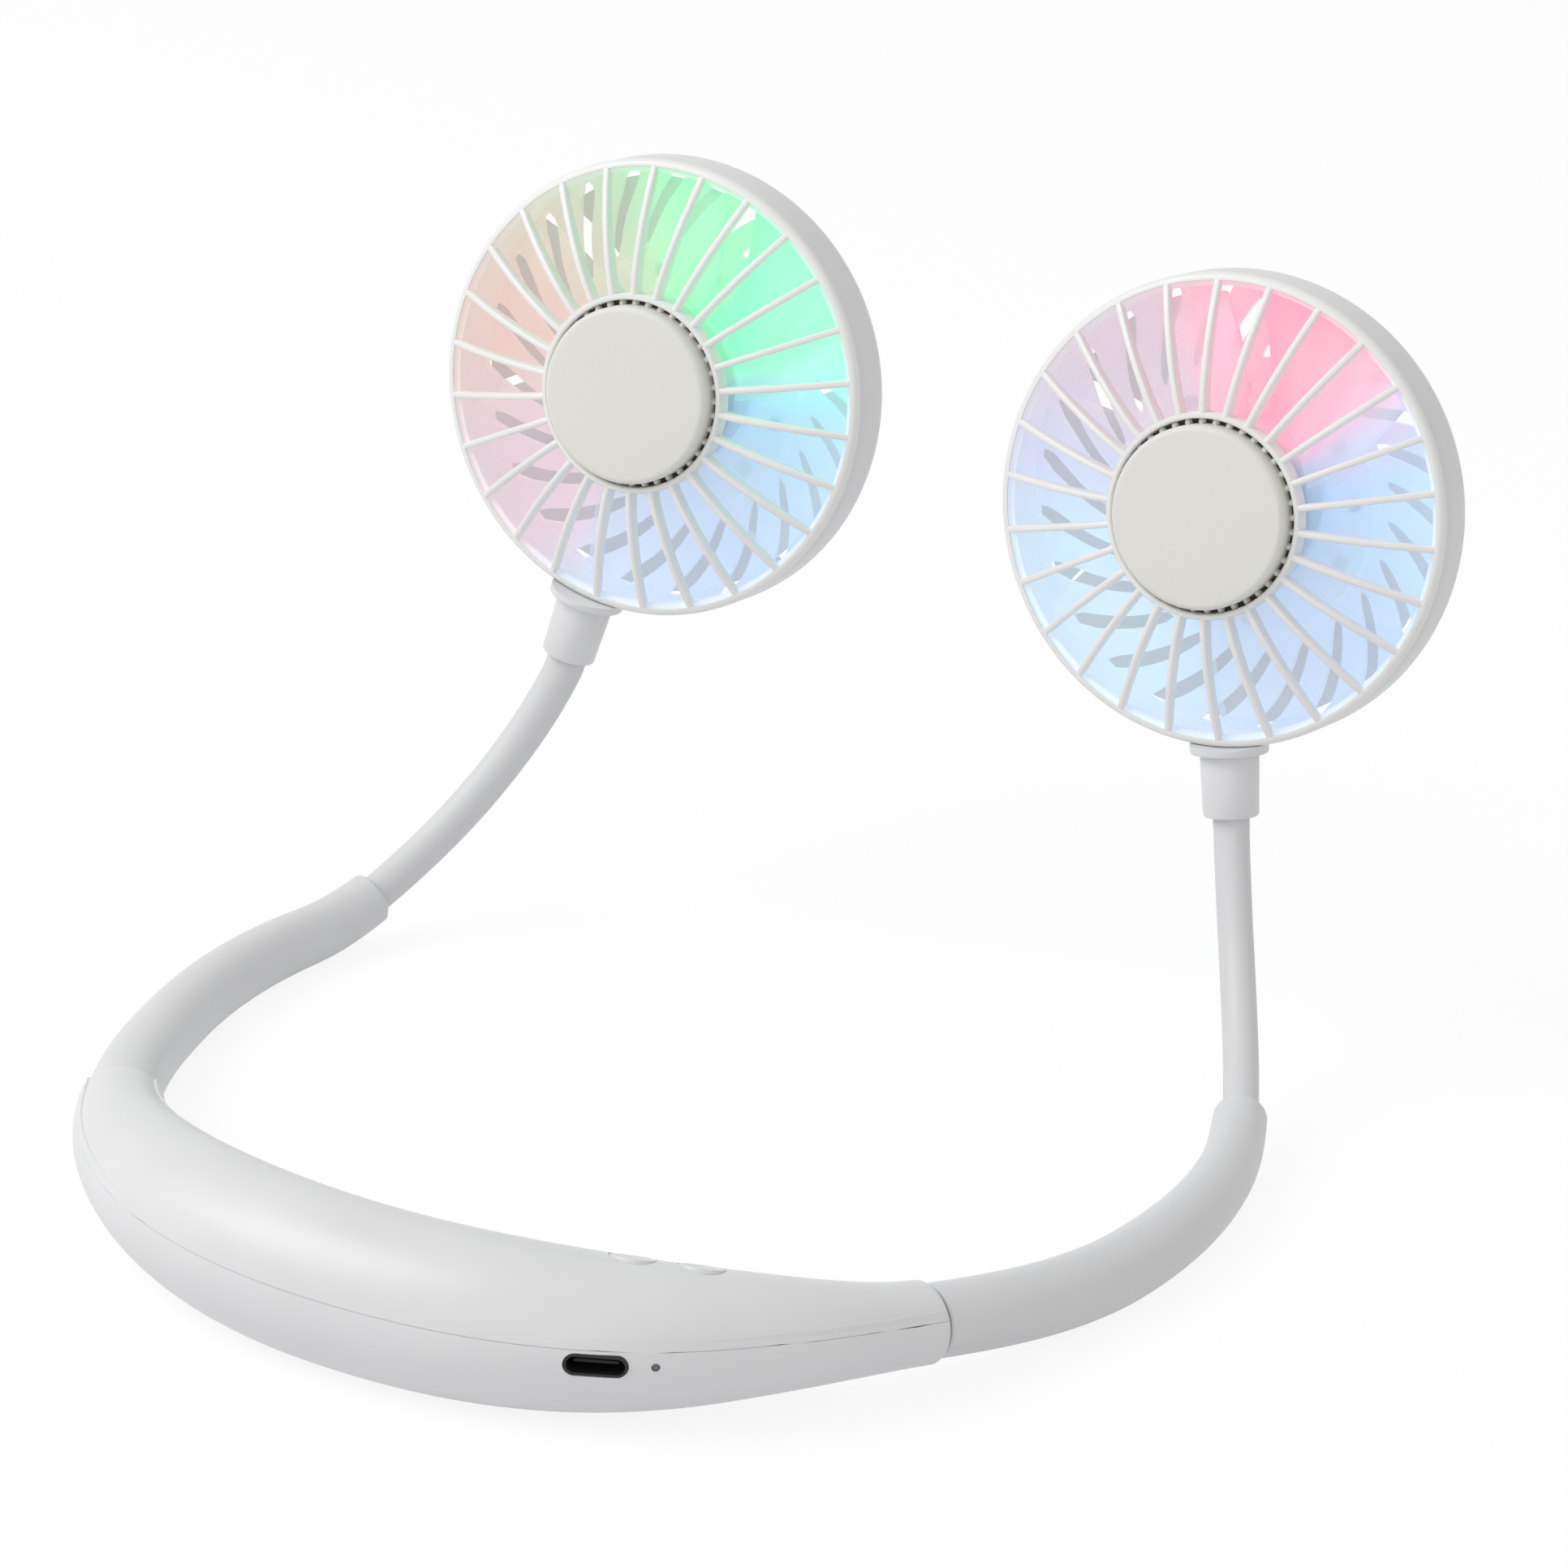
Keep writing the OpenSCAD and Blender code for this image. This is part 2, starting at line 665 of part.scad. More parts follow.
// The metal end of an arm's spine, with the seat that holds the ball
module arm_coupler(side) {
    color(bright_steel) on_path(side, half) difference() {
        translate([coupler_seat, 0, 0]) forward() cylinder(h = coupler_len - coupler_seat, d = coupler_d);
        sphere(d = pivot_ball_d + 2 * slip_gap);
        translate([coupler_len - coupler_seat - over, 0, 0]) forward()
            cylinder(h = coupler_seat + 2 * over, d = core_d + soft_gap);
    }
}
spine_steps = arm_stations / 2;
spine_places = [for (i = [0:spine_steps])
    mix(half + coupler_len - coupler_seat, path_len, i / spine_steps)];
module arm_spine(side) {
    color(steel) {
        swept([for (s = spine_places)
            ring(arm_station(side, s), oval(core_d / 2, core_d / 2, core_sides))]);
        multmatrix(frame(flip(side, first_joint(side)))) {
            translate([-neck_tail, 0, 0]) forward() cylinder(h = neck_tail, d = core_d);
            sphere(d = core_d);
        }
    }
}
lead_places = [for (i = [0:spine_steps])
    mix(half + coupler_len + over, path_len - neck_inset - over, i / spine_steps)];
module motor_lead(side) {
    shift = side * (core_d + motor_lead_d + 2 * slip_gap) / 2;
    color(lead_red) swept([for (s = lead_places) ring(arm_station(side, s),
        [for (q = oval(motor_lead_d / 2, motor_lead_d / 2, core_sides)) [q.x - shift, q.y]])]);
}

// Necks: the first joint, the run of points to the last joint, and the joints' places
function neck_turn(side, t) = spread(side > 0 ? right_neck_turns : left_neck_turns, t);
function neck_rise(side, t) = spread(side > 0 ? right_neck_rises : left_neck_rises, t);
function socket_way(side) = side > 0 ? right_socket_way : left_socket_way;
function first_joint(side) = let(h = neck_turn(side, 0), e = neck_rise(side, 0))
    [station(path_len)[0] + neck_tail * way(h, e), h, e];
function neck_step_way(side, i) = let(t = (i + 0.5) / neck_steps)
    way(neck_turn(side, t), neck_rise(side, t));
function neck_points(side) = [
    for (i = 0, p = first_joint(side)[0]; i <= neck_steps;
        p = p + neck_run / neck_steps * neck_step_way(side, i), i = i + 1) p
];
function neck_point(side, t) =
    let(points = neck_points(side), k = t * neck_steps, i = min(floor(k), neck_steps - 1))
    mix(points[i], points[i + 1], k - i);
function joint_at(side, i) = neck_point(side, joint_shares[i]);
function socket_base(side) = let(w = socket_way(side)) neck_point(side, 1) + neck_tail * way(w[0], w[1]);
function link_station(side, i) = let(a = joint_at(side, i), d = joint_at(side, i + 1) - a)
    flip(side, [a, heading(d), rise(d)]);
function sleeve_stations(side) =
    let(w = socket_way(side), end = station(path_len), points = neck_points(side))
    [for (st = concat(
        [[end[0] - neck_inset * way(end[1], end[2]), end[1], end[2]], end],
        [for (i = [0:neck_steps])
            [points[i], neck_turn(side, i / neck_steps), neck_rise(side, i / neck_steps)]],
        [[socket_base(side), w[0], w[1]],
         [socket_base(side) + (recess_len - soft_gap) * way(w[0], w[1]), w[0], w[1]]]
    )) flip(side, st)];
function neck_oval(inset) = oval(neck_w / 2 - inset, neck_h / 2 - inset, neck_sides);
module neck_sleeve(side) {
    color(plastic_white) swept_hollow(
        [for (st = sleeve_stations(side)) ring(st, neck_oval(0))],
        [for (st = sleeve_stations(side)) ring(st, neck_oval(neck_wall))]
    );
}
// A piece of the core: a seat round the joint behind it and a ball in the joint ahead
module core_piece(length, ball) {
    difference() {
        union() {
            translate([seat_start, 0, 0]) forward() cylinder(h = length - seat_start, d = core_d);
            if (ball) translate([length, 0, 0]) sphere(d = core_d);
        }
        sphere(d = core_d + 2 * slip_gap);
    }
}
module neck_link(side, i) {
    color(steel) multmatrix(frame(link_station(side, i)))
        core_piece(norm(joint_at(side, i + 1) - joint_at(side, i)), true);
}
module neck_tip(side) {
    w = socket_way(side);
    color(steel) multmatrix(frame(flip(side, [neck_point(side, 1), w[0], w[1]])))
        core_piece(neck_tail + recess_len + tip_seat, false);
}

// Sockets and heads: the axes of a head are its right, its up along the stem, and its face
function stem_axes(side) =
    let(w = way(socket_way(side)[0], socket_way(side)[1]),
        f = side > 0 ? right_face_turn : left_face_turn,
        look = [sin(f), -cos(f), 0],
        n = unit(look - (look * w) * w),
        w2 = [side * w.x, w.y, w.z],
        n2 = [side * n.x, n.y, n.z])
    [cross(w2, n2), w2, n2];
function stem_base(side) = let(p = socket_base(side)) [side * p.x, p.y, p.z];
function head_centre(side) = let(x = stem_axes(side))
    stem_base(side) + (socket_len + slip_gap + head_reach) * x[1] + stem_back * x[2];
module on_stem(side) {
    x = stem_axes(side);
    multmatrix(place(stem_base(side), x[0], -x[2], x[1])) children();
}
module on_head(side) {
    x = stem_axes(side);
    multmatrix(place(head_centre(side), x[0], x[1], x[2])) children();
}
clip_level = socket_len - web_h - slip_gap - clip_t;
module neck_socket(side) {
    color(plastic_white) on_stem(side) difference() {
        union() {
            cylinder(h = socket_bevel, d1 = socket_low_d - 2 * socket_bevel, d2 = socket_low_d);
            translate([0, 0, socket_bevel])
                cylinder(h = socket_len - socket_bevel, d1 = socket_low_d, d2 = socket_top_d);
        }
        translate([0, 0, -over]) cylinder(h = recess_len + over, d = neck_h + 2 * soft_gap);
        cylinder(h = recess_len + tip_seat + slip_gap, d = core_d + 2 * run_gap);
        translate([0, 0, socket_len - web_h - chamber_h]) cylinder(h = chamber_h, d = chamber_d);
        translate([0, 0, socket_len - web_h - over])
            cylinder(h = web_h + 2 * over, d = pin_d + 2 * slip_gap);
    }
}
module swivel_clip(side) {
    color(bright_steel) on_stem(side) translate([0, 0, clip_level]) difference() {
        cylinder(h = clip_t, d = clip_d);
        translate([0, 0, -over])
            cylinder(h = clip_t + 2 * over, d = pin_d - 2 * clip_groove + 2 * run_gap);
        translate([-clip_mouth / 2, 0, -over]) cube([clip_mouth, clip_d, clip_t + 2 * over]);
    }
}

// The rounded rear of the drum: points of its outer or inner side, from the wall to the plate
function drum_arc(shrink) = [for (i = [0:dome_steps]) let(g = 90 * i / dome_steps)
    [drum_r - rear_round + (rear_round - shrink) * cos(g), round_level - (rear_round - shrink) * sin(g)]];
function slot_edge(side, i) =
    let(t = i / slot_steps, r = mix(slot_in_r, opening_r - slot_end_gap, t),
        g = -slot_sweep * t + side * asin(mix(slot_in_w, slot_w, t) / 2 / r))
    r * [cos(g), sin(g)];
module rear_slot() {
    translate([0, 0, -drum_depth - over]) linear_extrude(slot_rise + over) polygon(concat(
        [for (i = [0:slot_steps]) slot_edge(-1, i)],
        [for (i = [slot_steps:-1:0]) slot_edge(1, i)]
    ));
}
module stem_line(y) {
    translate([0, y, -stem_back]) rotate([-90, 0, 0]) children();
}
pin_len = web_h + chamber_h - pin_end + slip_gap;
module rear_shell(side) {
    inner = drum_arc(drum_wall);
    color(plastic_white) on_head(side) {
        difference() {
            union() {
                rotate_extrude($fn = 96) polygon(concat(
                    [[0, -drum_depth]],
                    [for (i = [dome_steps:-1:0]) drum_arc(0)[i]],
                    [[drum_r, -rim_t - run_gap], [opening_r, -rim_t - run_gap]],
                    inner,
                    [[0, plate_level]]
                ));
                translate([0, 0, plate_level - drum_wall / 2])
                    cylinder(h = tube_h + drum_wall / 2, d = tube_d);
            }
            translate([0, 0, plate_level]) cylinder(h = tube_h + over, d = bearing_d + 2 * run_gap);
            for (k = [0:slot_count - 1]) rotate([0, 0, 360 * (k + 0.5) / slot_count]) rear_slot();
            head_screws_place() translate([0, 0, head_screw_low - slip_gap])
                cylinder(h = drum_wall + over, d = head_screw_d + 2 * run_gap);
        }
        difference() {
            stem_line(-head_reach) cylinder(h = flange_h, d = flange_d);
            translate([0, 0, -drum_depth])
                cylinder(h = 2 * drum_depth, r = opening_r + drum_wall / 2, $fn = 96);
            translate([0, 0, -rim_t - run_gap])
                cylinder(h = drum_depth, r = drum_r + slip_gap, $fn = 96);
        }
        difference() {
            stem_line(-head_reach - pin_len) cylinder(h = pin_len + over, d = pin_d);
            stem_line(-head_reach - web_h - 2 * slip_gap - clip_t - run_gap) difference() {
                cylinder(h = clip_t + 2 * run_gap, d = clip_d);
                translate([0, 0, -over]) cylinder(h = clip_t + 2 * over, d = pin_d - 2 * clip_groove);
            }
        }
    }
}

// The grille: a rim with a lip, a ring in the middle, and thin ribs that rise as a dome
function dome_share(r) = max(0, (r - ring_r - ring_w) / (opening_r - ring_r - ring_w));
function dome_z(r) = dome_h * (1 - pow(dome_share(r), dome_power));
rib_places = [for (i = [0:dome_steps]) mix(ring_r + ring_w / 2, opening_r + drum_wall / 3, i / dome_steps)];
function rib_low(i) = dome_z(rib_places[i]) - mix(rib_depth, rib_end_depth, i / dome_steps);
module tube_ring(low, high, r_in, r_out) {
    rotate_extrude($fn = 96) polygon([[r_in, low], [r_out, low], [r_out, high], [r_in, high]]);
}
function grille_turn(side) = 90 - (side > 0 ? right_grille_turn : left_grille_turn);
module grille(side) {
    color(plastic_white) on_head(side) {
        tube_ring(-rim_t, 0, opening_r, drum_r);
        tube_ring(-rim_t - lip_len, -rim_t / 2, opening_r - lip_t, opening_r - run_gap);
        tube_ring(-rim_t, -rim_t / 2, opening_r - lip_t, opening_r + drum_wall / 2);
        tube_ring(dome_h - rib_depth, dome_h, ring_r, ring_r + ring_w);
        for (k = [0:rib_count - 1]) rotate([90, 0, grille_turn(side) + 360 * k / rib_count])
            translate([0, 0, -rib_w / 2]) linear_extrude(rib_w) polygon(concat(
                [for (i = [0:dome_steps]) [rib_places[i], dome_z(rib_places[i])]],
                [for (i = [dome_steps:-1:0]) [rib_places[i], rib_low(i)]]
            ));
    }
}
// The cap is a shallow cup that clips into the grille's ring on a row of teeth, with air gaps between them
module hub_cap(side) {
    cap_r = ring_r - cap_gap;
    top = dome_h + cap_proud;
    color(cap_white) on_head(side) {
        rotate_extrude($fn = 96) polygon([
            [0, top - cap_wall],
            [cap_r - cap_wall, top - cap_wall],
            [cap_r - cap_wall, top - cap_t],
            [cap_r, top - cap_t],
            [cap_r, top - cap_edge],
            [cap_r - cap_edge * edge_share, top - cap_edge * edge_share],
            [cap_r - cap_edge, top],
            [0, top],
        ]);
        for (k = [0:tooth_count - 1]) rotate([0, 0, 360 * k / tooth_count])
            translate([cap_r - over, -tooth_w / 2, top - cap_t])
            cube([over + cap_gap - slip_gap, tooth_w, tooth_h]);
    }
}

// Inside a head: the light board, the motor and the fan
module light_board(side) {
    color(board_green) on_head(side) translate([0, 0, plate_level + slip_gap]) difference() {
        cylinder(h = light_board_t, d = light_board_d);
        translate([0, 0, -over]) cylinder(h = light_board_t + 2 * over, d = tube_d + 2 * slip_gap);
        head_screws_place() translate([0, 0, -over])
            cylinder(h = light_board_t + 2 * over, d = head_screw_d + 2 * slip_gap);
    }
}
module lamps(side) {
    color(clear_tint) on_head(side) for (k = [0:lamp_count - 1])
        rotate([0, 0, 360 * (k + 0.5) / lamp_count])
            translate([lamp_r - lamp_w / 2, -lamp_w / 2, light_board_level])
            cube([lamp_w, lamp_w, lamp_t]);
}
module head_screws_place() {
    for (k = [0:head_screw_count - 1]) rotate([0, 0, 360 * k / head_screw_count]) translate([lamp_r, 0, 0])
        children();
}
module head_screws(side) {
    color(bright_steel) on_head(side) head_screws_place() {
        translate([0, 0, light_board_level + run_gap])
            cylinder(h = head_screw_head_h, d = head_screw_head_d);
        translate([0, 0, head_screw_low])
            cylinder(h = light_board_level + head_screw_head_h / 2 - head_screw_low, d = head_screw_d);
    }
}
// A yoke on the tube, arms for the coils, and a shoe on each arm
module stator(side) {
    color(steel) on_head(side) translate([0, 0, stator_level]) linear_extrude(stator_h) difference() {
        circle(r = stator_r);
        circle(d = tube_d + 2 * run_gap);
        for (k = [0:pole_count - 1]) rotate(360 * (k + 0.5) / pole_count) {
            polygon(concat(
                [for (g = [-1, 1]) pole_corner(g, yoke_r)],
                [for (g = [1, 0, -1]) pole_corner(g, stator_r - shoe_t)]
            ));
            translate([yoke_r + over, -shoe_gap / 2]) square([stator_r, shoe_gap]);
        }
    }
}
// A corner of the window between two arms, at one of its sides or midway
function pole_corner(g, r) = let(a = g * (180 / pole_count - asin(pole_w / 2 / r))) r * [cos(a), sin(a)];
// Coils wound round the stator's poles
module windings(side) {
    inner_w = pole_w + 2 * slip_gap;
    color(copper) on_head(side) for (k = [0:pole_count - 1]) rotate([0, 0, 360 * k / pole_count])
        translate([coil_r, 0, stator_level + stator_h / 2]) difference() {
            cube([coil_len, inner_w + 2 * coil_t, stator_h + 2 * slip_gap + 2 * coil_t], center = true);
            cube([coil_len + over, inner_w, stator_h + 2 * slip_gap], center = true);
        }
}
module bearings(side) {
    color(bright_steel) on_head(side)
        for (z = [plate_level + run_gap, plate_level + tube_h - bearing_t])
            translate([0, 0, z]) difference() {
                cylinder(h = bearing_t, d = bearing_d);
                translate([0, 0, -over]) cylinder(h = bearing_t + 2 * over, d = shaft_d + 2 * run_gap);
            }
}
module motor_shaft(side) {
    low = plate_level + 3 * slip_gap;
    color(bright_steel) on_head(side) translate([0, 0, low])
        cylinder(h = fan_front - hub_plate_t - slip_gap - low, d = shaft_d);
}
module rotor(side) {
    top = fan_front - hub_plate_t - slip_gap;
    color(steel) on_head(side) tube_ring(top - rotor_h, top, rotor_r - rotor_w, rotor_r);
}
// A blade's surface: it winds round the hub from front to back and leans back towards its tip
blade_tip_r = opening_r - tip_gap;
function blade_point(i, j, lift) =
    let(r = mix(hub_d / 2 - hub_wall / 2, blade_tip_r, i / blade_radial), u = j / blade_chord,
        g = blade_turn + blade_sweep * i / blade_radial + blade_span * u)
    [r * cos(g), r * sin(g), blade_back_level + blade_rise * (1 - ease(u) / 2 - u / 2) + lift];
blade_row = blade_chord + 1;
blade_layer = (blade_radial + 1) * blade_row;
function blade_at(i, j, layer) = layer * blade_layer + i * blade_row + j;
// Two triangles between four points, turned over where asked
function split(a, b, c, d, over_turned) =
    over_turned ? [[a, c, b], [a, d, c]] : [[a, b, c], [a, c, d]];
module blade() {
    polyhedron(
        points = concat(
            [for (i = [0:blade_radial]) for (j = [0:blade_chord]) blade_point(i, j, 0)],
            [for (i = [0:blade_radial]) for (j = [0:blade_chord]) blade_point(i, j, blade_t)]
        ),
        faces = concat(
            [for (k = [0, 1]) for (i = [0:blade_radial - 1]) for (j = [0:blade_chord - 1])
                for (f = split(
                    blade_at(i, j, k), blade_at(i, j + 1, k),
                    blade_at(i + 1, j + 1, k), blade_at(i + 1, j, k), k == 0
                )) f],
            [for (i = [0, blade_radial]) for (j = [0:blade_chord - 1])
                for (f = split(
                    blade_at(i, j, 0), blade_at(i, j + 1, 0),
                    blade_at(i, j + 1, 1), blade_at(i, j, 1), i > 0
                )) f],
            [for (j = [0, blade_chord]) for (i = [0:blade_radial - 1])
                for (f = split(
                    blade_at(i, j, 0), blade_at(i + 1, j, 0),
                    blade_at(i + 1, j, 1), blade_at(i, j, 1), j == 0
                )) f]
        )
    );
}
module impeller(side) {
    hub_r = hub_d / 2;
    plate_low = fan_front - hub_plate_t;
    color(clear_tint) on_head(side) difference() {
        union() {
            rotate_extrude($fn = 96) polygon([
                [0, plate_low],
                [hub_r - hub_wall, plate_low],
                [hub_r - hub_wall, fan_back],
                [hub_r, fan_back],
                [hub_r, fan_front - hub_edge],
                [hub_r - hub_edge * edge_share, fan_front - hub_edge * edge_share],
                [hub_r - hub_edge, fan_front],
                [0, fan_front],
            ]);
            translate([0, 0, plate_low - hub_boss_h])
                cylinder(h = hub_boss_h + hub_plate_t / 2, d = hub_boss_d);
            for (k = [0:blade_count - 1]) rotate([0, 0, 360 * k / blade_count]) blade();
        }
        translate([0, 0, plate_low - hub_boss_h - over])
            cylinder(h = hub_boss_h + over, d = shaft_d + 2 * run_gap);
    }
}

upper_shell();
lower_shell();
board_screws();
battery_cells();
battery_leads();
circuit_board();
usb_socket();
charge_light();
fan_button();
light_button();
button_switches();
for (side = [-1, 1]) {
    name = side < 0 ? "left_" : "right_";
    arm_pivot(side);
    arm_coupler(side);
    arm_spine(side);
    arm_sleeve(side);
    motor_lead(side);
    neck_sleeve(side);
    for (i = [0:2]) {
        neck_link(side, i);
    }
    neck_tip(side);
    neck_socket(side);
    swivel_clip(side);
    rear_shell(side);
    grille(side);
    hub_cap(side);
    light_board(side);
    lamps(side);
    head_screws(side);
    stator(side);
    windings(side);
    bearings(side);
    motor_shaft(side);
    rotor(side);
    impeller(side);
}
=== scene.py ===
import json
import math

import bpy
from mathutils import Matrix, Vector


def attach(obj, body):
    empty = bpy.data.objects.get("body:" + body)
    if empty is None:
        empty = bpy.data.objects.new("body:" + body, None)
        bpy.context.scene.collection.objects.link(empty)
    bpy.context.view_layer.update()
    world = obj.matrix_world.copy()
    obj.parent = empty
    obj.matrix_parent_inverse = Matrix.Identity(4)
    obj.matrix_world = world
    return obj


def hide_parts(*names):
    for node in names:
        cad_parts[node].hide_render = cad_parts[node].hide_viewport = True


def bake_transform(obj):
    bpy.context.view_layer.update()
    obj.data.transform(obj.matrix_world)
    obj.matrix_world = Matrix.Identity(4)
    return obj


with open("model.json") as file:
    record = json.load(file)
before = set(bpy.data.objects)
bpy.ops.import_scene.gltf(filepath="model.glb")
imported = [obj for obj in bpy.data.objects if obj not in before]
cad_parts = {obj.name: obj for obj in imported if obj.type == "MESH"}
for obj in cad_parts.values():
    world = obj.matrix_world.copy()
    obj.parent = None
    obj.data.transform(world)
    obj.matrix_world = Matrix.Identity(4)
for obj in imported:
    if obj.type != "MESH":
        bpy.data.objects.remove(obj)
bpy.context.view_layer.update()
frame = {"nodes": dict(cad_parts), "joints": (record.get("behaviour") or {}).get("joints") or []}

MM = 0.001

# The table and the room: a pale matt table that keeps a faint shadow, in a plain white room.
# To the camera and in gloss both show white, and through the clear fans the table shows as a
# mid grey, painted shade that stands for the heads' shadow behind them. Their light on the
# fan is plain and soft.
room_light = 0.52
table_share = 0.8
table_glow = 1.08
table_color = (0.8, 0.8, 0.81, 1)
clear_seen_shade = 0.3


def new_material(name):
    """A material with its node tree, its output and its plain shader."""
    material = bpy.data.materials.new(name)
    material.use_nodes = True
    nodes = material.node_tree.nodes
    return material, nodes, material.node_tree.links, nodes["Principled BSDF"]


def seen_directly(nodes, links):
    """1 for what the camera, gloss or a clear piece sees, 0 for light on other things."""
    path = nodes.new("ShaderNodeLightPath")
    first = nodes.new("ShaderNodeMath")
    first.operation = "MAXIMUM"
    links.new(path.outputs["Is Camera Ray"], first.inputs[0])
    links.new(path.outputs["Is Glossy Ray"], first.inputs[1])
    second = nodes.new("ShaderNodeMath")
    second.operation = "MAXIMUM"
    links.new(first.outputs[0], second.inputs[0])
    links.new(path.outputs["Is Transmission Ray"], second.inputs[1])
    return second.outputs[0]


world = bpy.data.worlds.new("room")
bpy.context.scene.world = world
world.use_nodes = True
room_nodes, room_links = world.node_tree.nodes, world.node_tree.links
room_strength = room_nodes.new("ShaderNodeMapRange")
room_links.new(seen_directly(room_nodes, room_links), room_strength.inputs["Value"])
room_strength.inputs["To Min"].default_value = room_light
room_strength.inputs["To Max"].default_value = 1
room_nodes["Background"].inputs["Color"].default_value = (1, 1, 1, 1)
room_links.new(room_strength.outputs["Result"], room_nodes["Background"].inputs["Strength"])

bpy.ops.mesh.primitive_plane_add(size=6)
table = bpy.context.object
table.name = "table"
table_finish, nodes, links, shader = new_material("table_finish")
shader.inputs["Base Color"].default_value = table_color
shader.inputs["Roughness"].default_value = 0.9
shader.inputs["Specular IOR Level"].default_value = 0.1
path = nodes.new("ShaderNodeLightPath")
glow = nodes.new("ShaderNodeEmission")
level = nodes.new("ShaderNodeMapRange")
# Through clear plastic the table's glow drops to a mid grey: painted shade for the heads' shadow
# behind them.
links.new(path.outputs["Transparent Depth"], level.inputs["Value"])
level.inputs["To Min"].default_value = table_glow
level.inputs["To Max"].default_value = clear_seen_shade
links.new(level.outputs["Result"], glow.inputs["Strength"])
share = nodes.new("ShaderNodeMath")
share.operation = "MULTIPLY"
links.new(seen_directly(nodes, links), share.inputs[0])
share.inputs[1].default_value = table_share
mixed = nodes.new("ShaderNodeMixShader")
links.new(share.outputs[0], mixed.inputs[0])
links.new(shader.outputs[0], mixed.inputs[1])
links.new(glow.outputs[0], mixed.inputs[2])
links.new(mixed.outputs[0], nodes["Material Output"].inputs["Surface"])
table.data.materials.append(table_finish)

# Three soft lamps: a large one above and to the left, a weaker one on the right, and a low
# one behind the camera that opens the shadows.
lamps = (
    ("key", (-0.8, -0.5, 1.05), 0.9, 9.5),
    ("side", (1.1, 0.1, 0.7), 0.7, 0.6),
    ("front", (0.35, -1.2, 0.5), 0.8, 1.6),
)
lamp_target = Vector((0, 0.09, 0.05))
for name, place, size, power in lamps:
    bpy.ops.object.light_add(type="AREA", location=place)
    lamp = bpy.context.object
    lamp.name = name
    lamp.data.size = size
    lamp.data.energy = power
    lamp.rotation_euler = (lamp_target - lamp.location).to_track_quat("-Z", "Y").to_euler()

# The camera stands to the right of the housing and above it, at the photograph's angle.
camera_place = Vector((338.54, -595.68, 361.05)) * MM
camera_turn = [math.radians(a) for a in (68.640, -3.193, 26.344)]
bpy.ops.object.camera_add(location=camera_place, rotation=camera_turn)
camera = bpy.context.object
camera.data.lens = 121.546
camera.data.sensor_width = 36
camera.data.clip_end = 20
bpy.context.scene.camera = camera
bpy.context.scene.view_settings.view_transform = "Standard"

# The housing: two moulded shells of satin white plastic, one bow from seam to seam, closed
# along a fine line above its middle. Its ends are rounded where the arms join on.
housing_len = 167 * MM
housing_turn = 62
housing_depth, housing_end_depth = 24.6 * MM, 13.4 * MM
housing_height, housing_end_height = 25 * MM, 12.2 * MM
arm_len = 99.5 * MM
arm_turn = 109
arm_h, arm_end_h = 11.1 * MM, 9.6 * MM
arm_rise = 3.4 * MM
rest_flat = 0.4 * MM
seam_gap = 0.7 * MM
half = housing_len / 2
path_len = half + arm_len
rest_level = housing_height / 2 - rest_flat
arm_root = half + seam_gap / 2
shell_wall = 1.5 * MM
parting_rise = 2.8 * MM
parting_groove = 0.05 * MM
housing_color = (0.775, 0.775, 0.782, 1)


def ease(t):
    u = min(max(t, 0), 1)
    return u * u * (3 - 2 * u)


def mix(a, b, t):
    return a + (b - a) * t


def turn_at(s):
    """The bow's heading at a distance from its middle, in degrees."""
    if s < 0:
        return -turn_at(-s)
    if s <= half:
        return housing_turn * (s / half) ** 1.1
    return housing_turn + (arm_turn - housing_turn) * ((s - half) / arm_len) ** 1.2


def arm_half_height(s):
    t = min(max((s - arm_root) / (path_len - arm_root), 0), 1)
    return mix(arm_h, arm_end_h, t ** 3) / 2


def level_at(s):
    """The centre line's height: level in the housing, low in the arms, up at their ends."""
    s = abs(s)
    drop = (s - half * 0.6) / (half + arm_len * 0.45 - half * 0.6)
    lift = max(0, (s - half - arm_len * 0.84) / (arm_len * 0.16))
    return mix(rest_level, arm_half_height(s), ease(drop)) + arm_rise * lift ** 2


def half_depth(s):
    return mix(housing_depth, housing_end_depth, ease((abs(s) / half) ** 1.8)) / 2


def half_height(s):
    return mix(housing_height, housing_end_height, ease((abs(s) / half) ** 1.45)) / 2


line_step = path_len / 360
right_line = [Vector((0, 0, level_at(0)))]
for i in range(372):
    heading = math.radians(turn_at(min((i + 0.5) * line_step, path_len)))
    step = Vector((math.cos(heading), math.sin(heading), 0)) * line_step
    flat = right_line[-1] + step
    level = level_at(min((i + 1) * line_step, path_len + 3 * MM))
    right_line.append(Vector((flat.x, flat.y, level)))
left_line = [Vector((-p.x, p.y, p.z)) for p in reversed(right_line[1:])]
bow_line = left_line + right_line
bow_lengths = [0]
for a, b in zip(bow_line, bow_line[1:]):
    bow_lengths.append(bow_lengths[-1] + (b - a).length)


def bow_station(s):
    """Where a distance along the plan lies in the bow's list of points, as a real number."""
    return len(left_line) + s / line_step


def along(s):
    k = bow_station(s)
    i = min(int(k), len(bow_lengths) - 2)
    return mix(bow_lengths[i], bow_lengths[i + 1], k - i)


def on_bow(s):
    k = bow_station(s)
    i = min(int(k), len(bow_line) - 2)
    return bow_line[i].lerp(bow_line[i + 1], k - i)


def only(piece):
    """Selects one piece and makes it the active one."""
    if bpy.context.object and bpy.context.object.mode == "EDIT":
        bpy.ops.object.mode_set(mode="OBJECT")
    bpy.ops.object.select_all(action="DESELECT")
    piece.select_set(True)
    bpy.context.view_layer.objects.active = piece


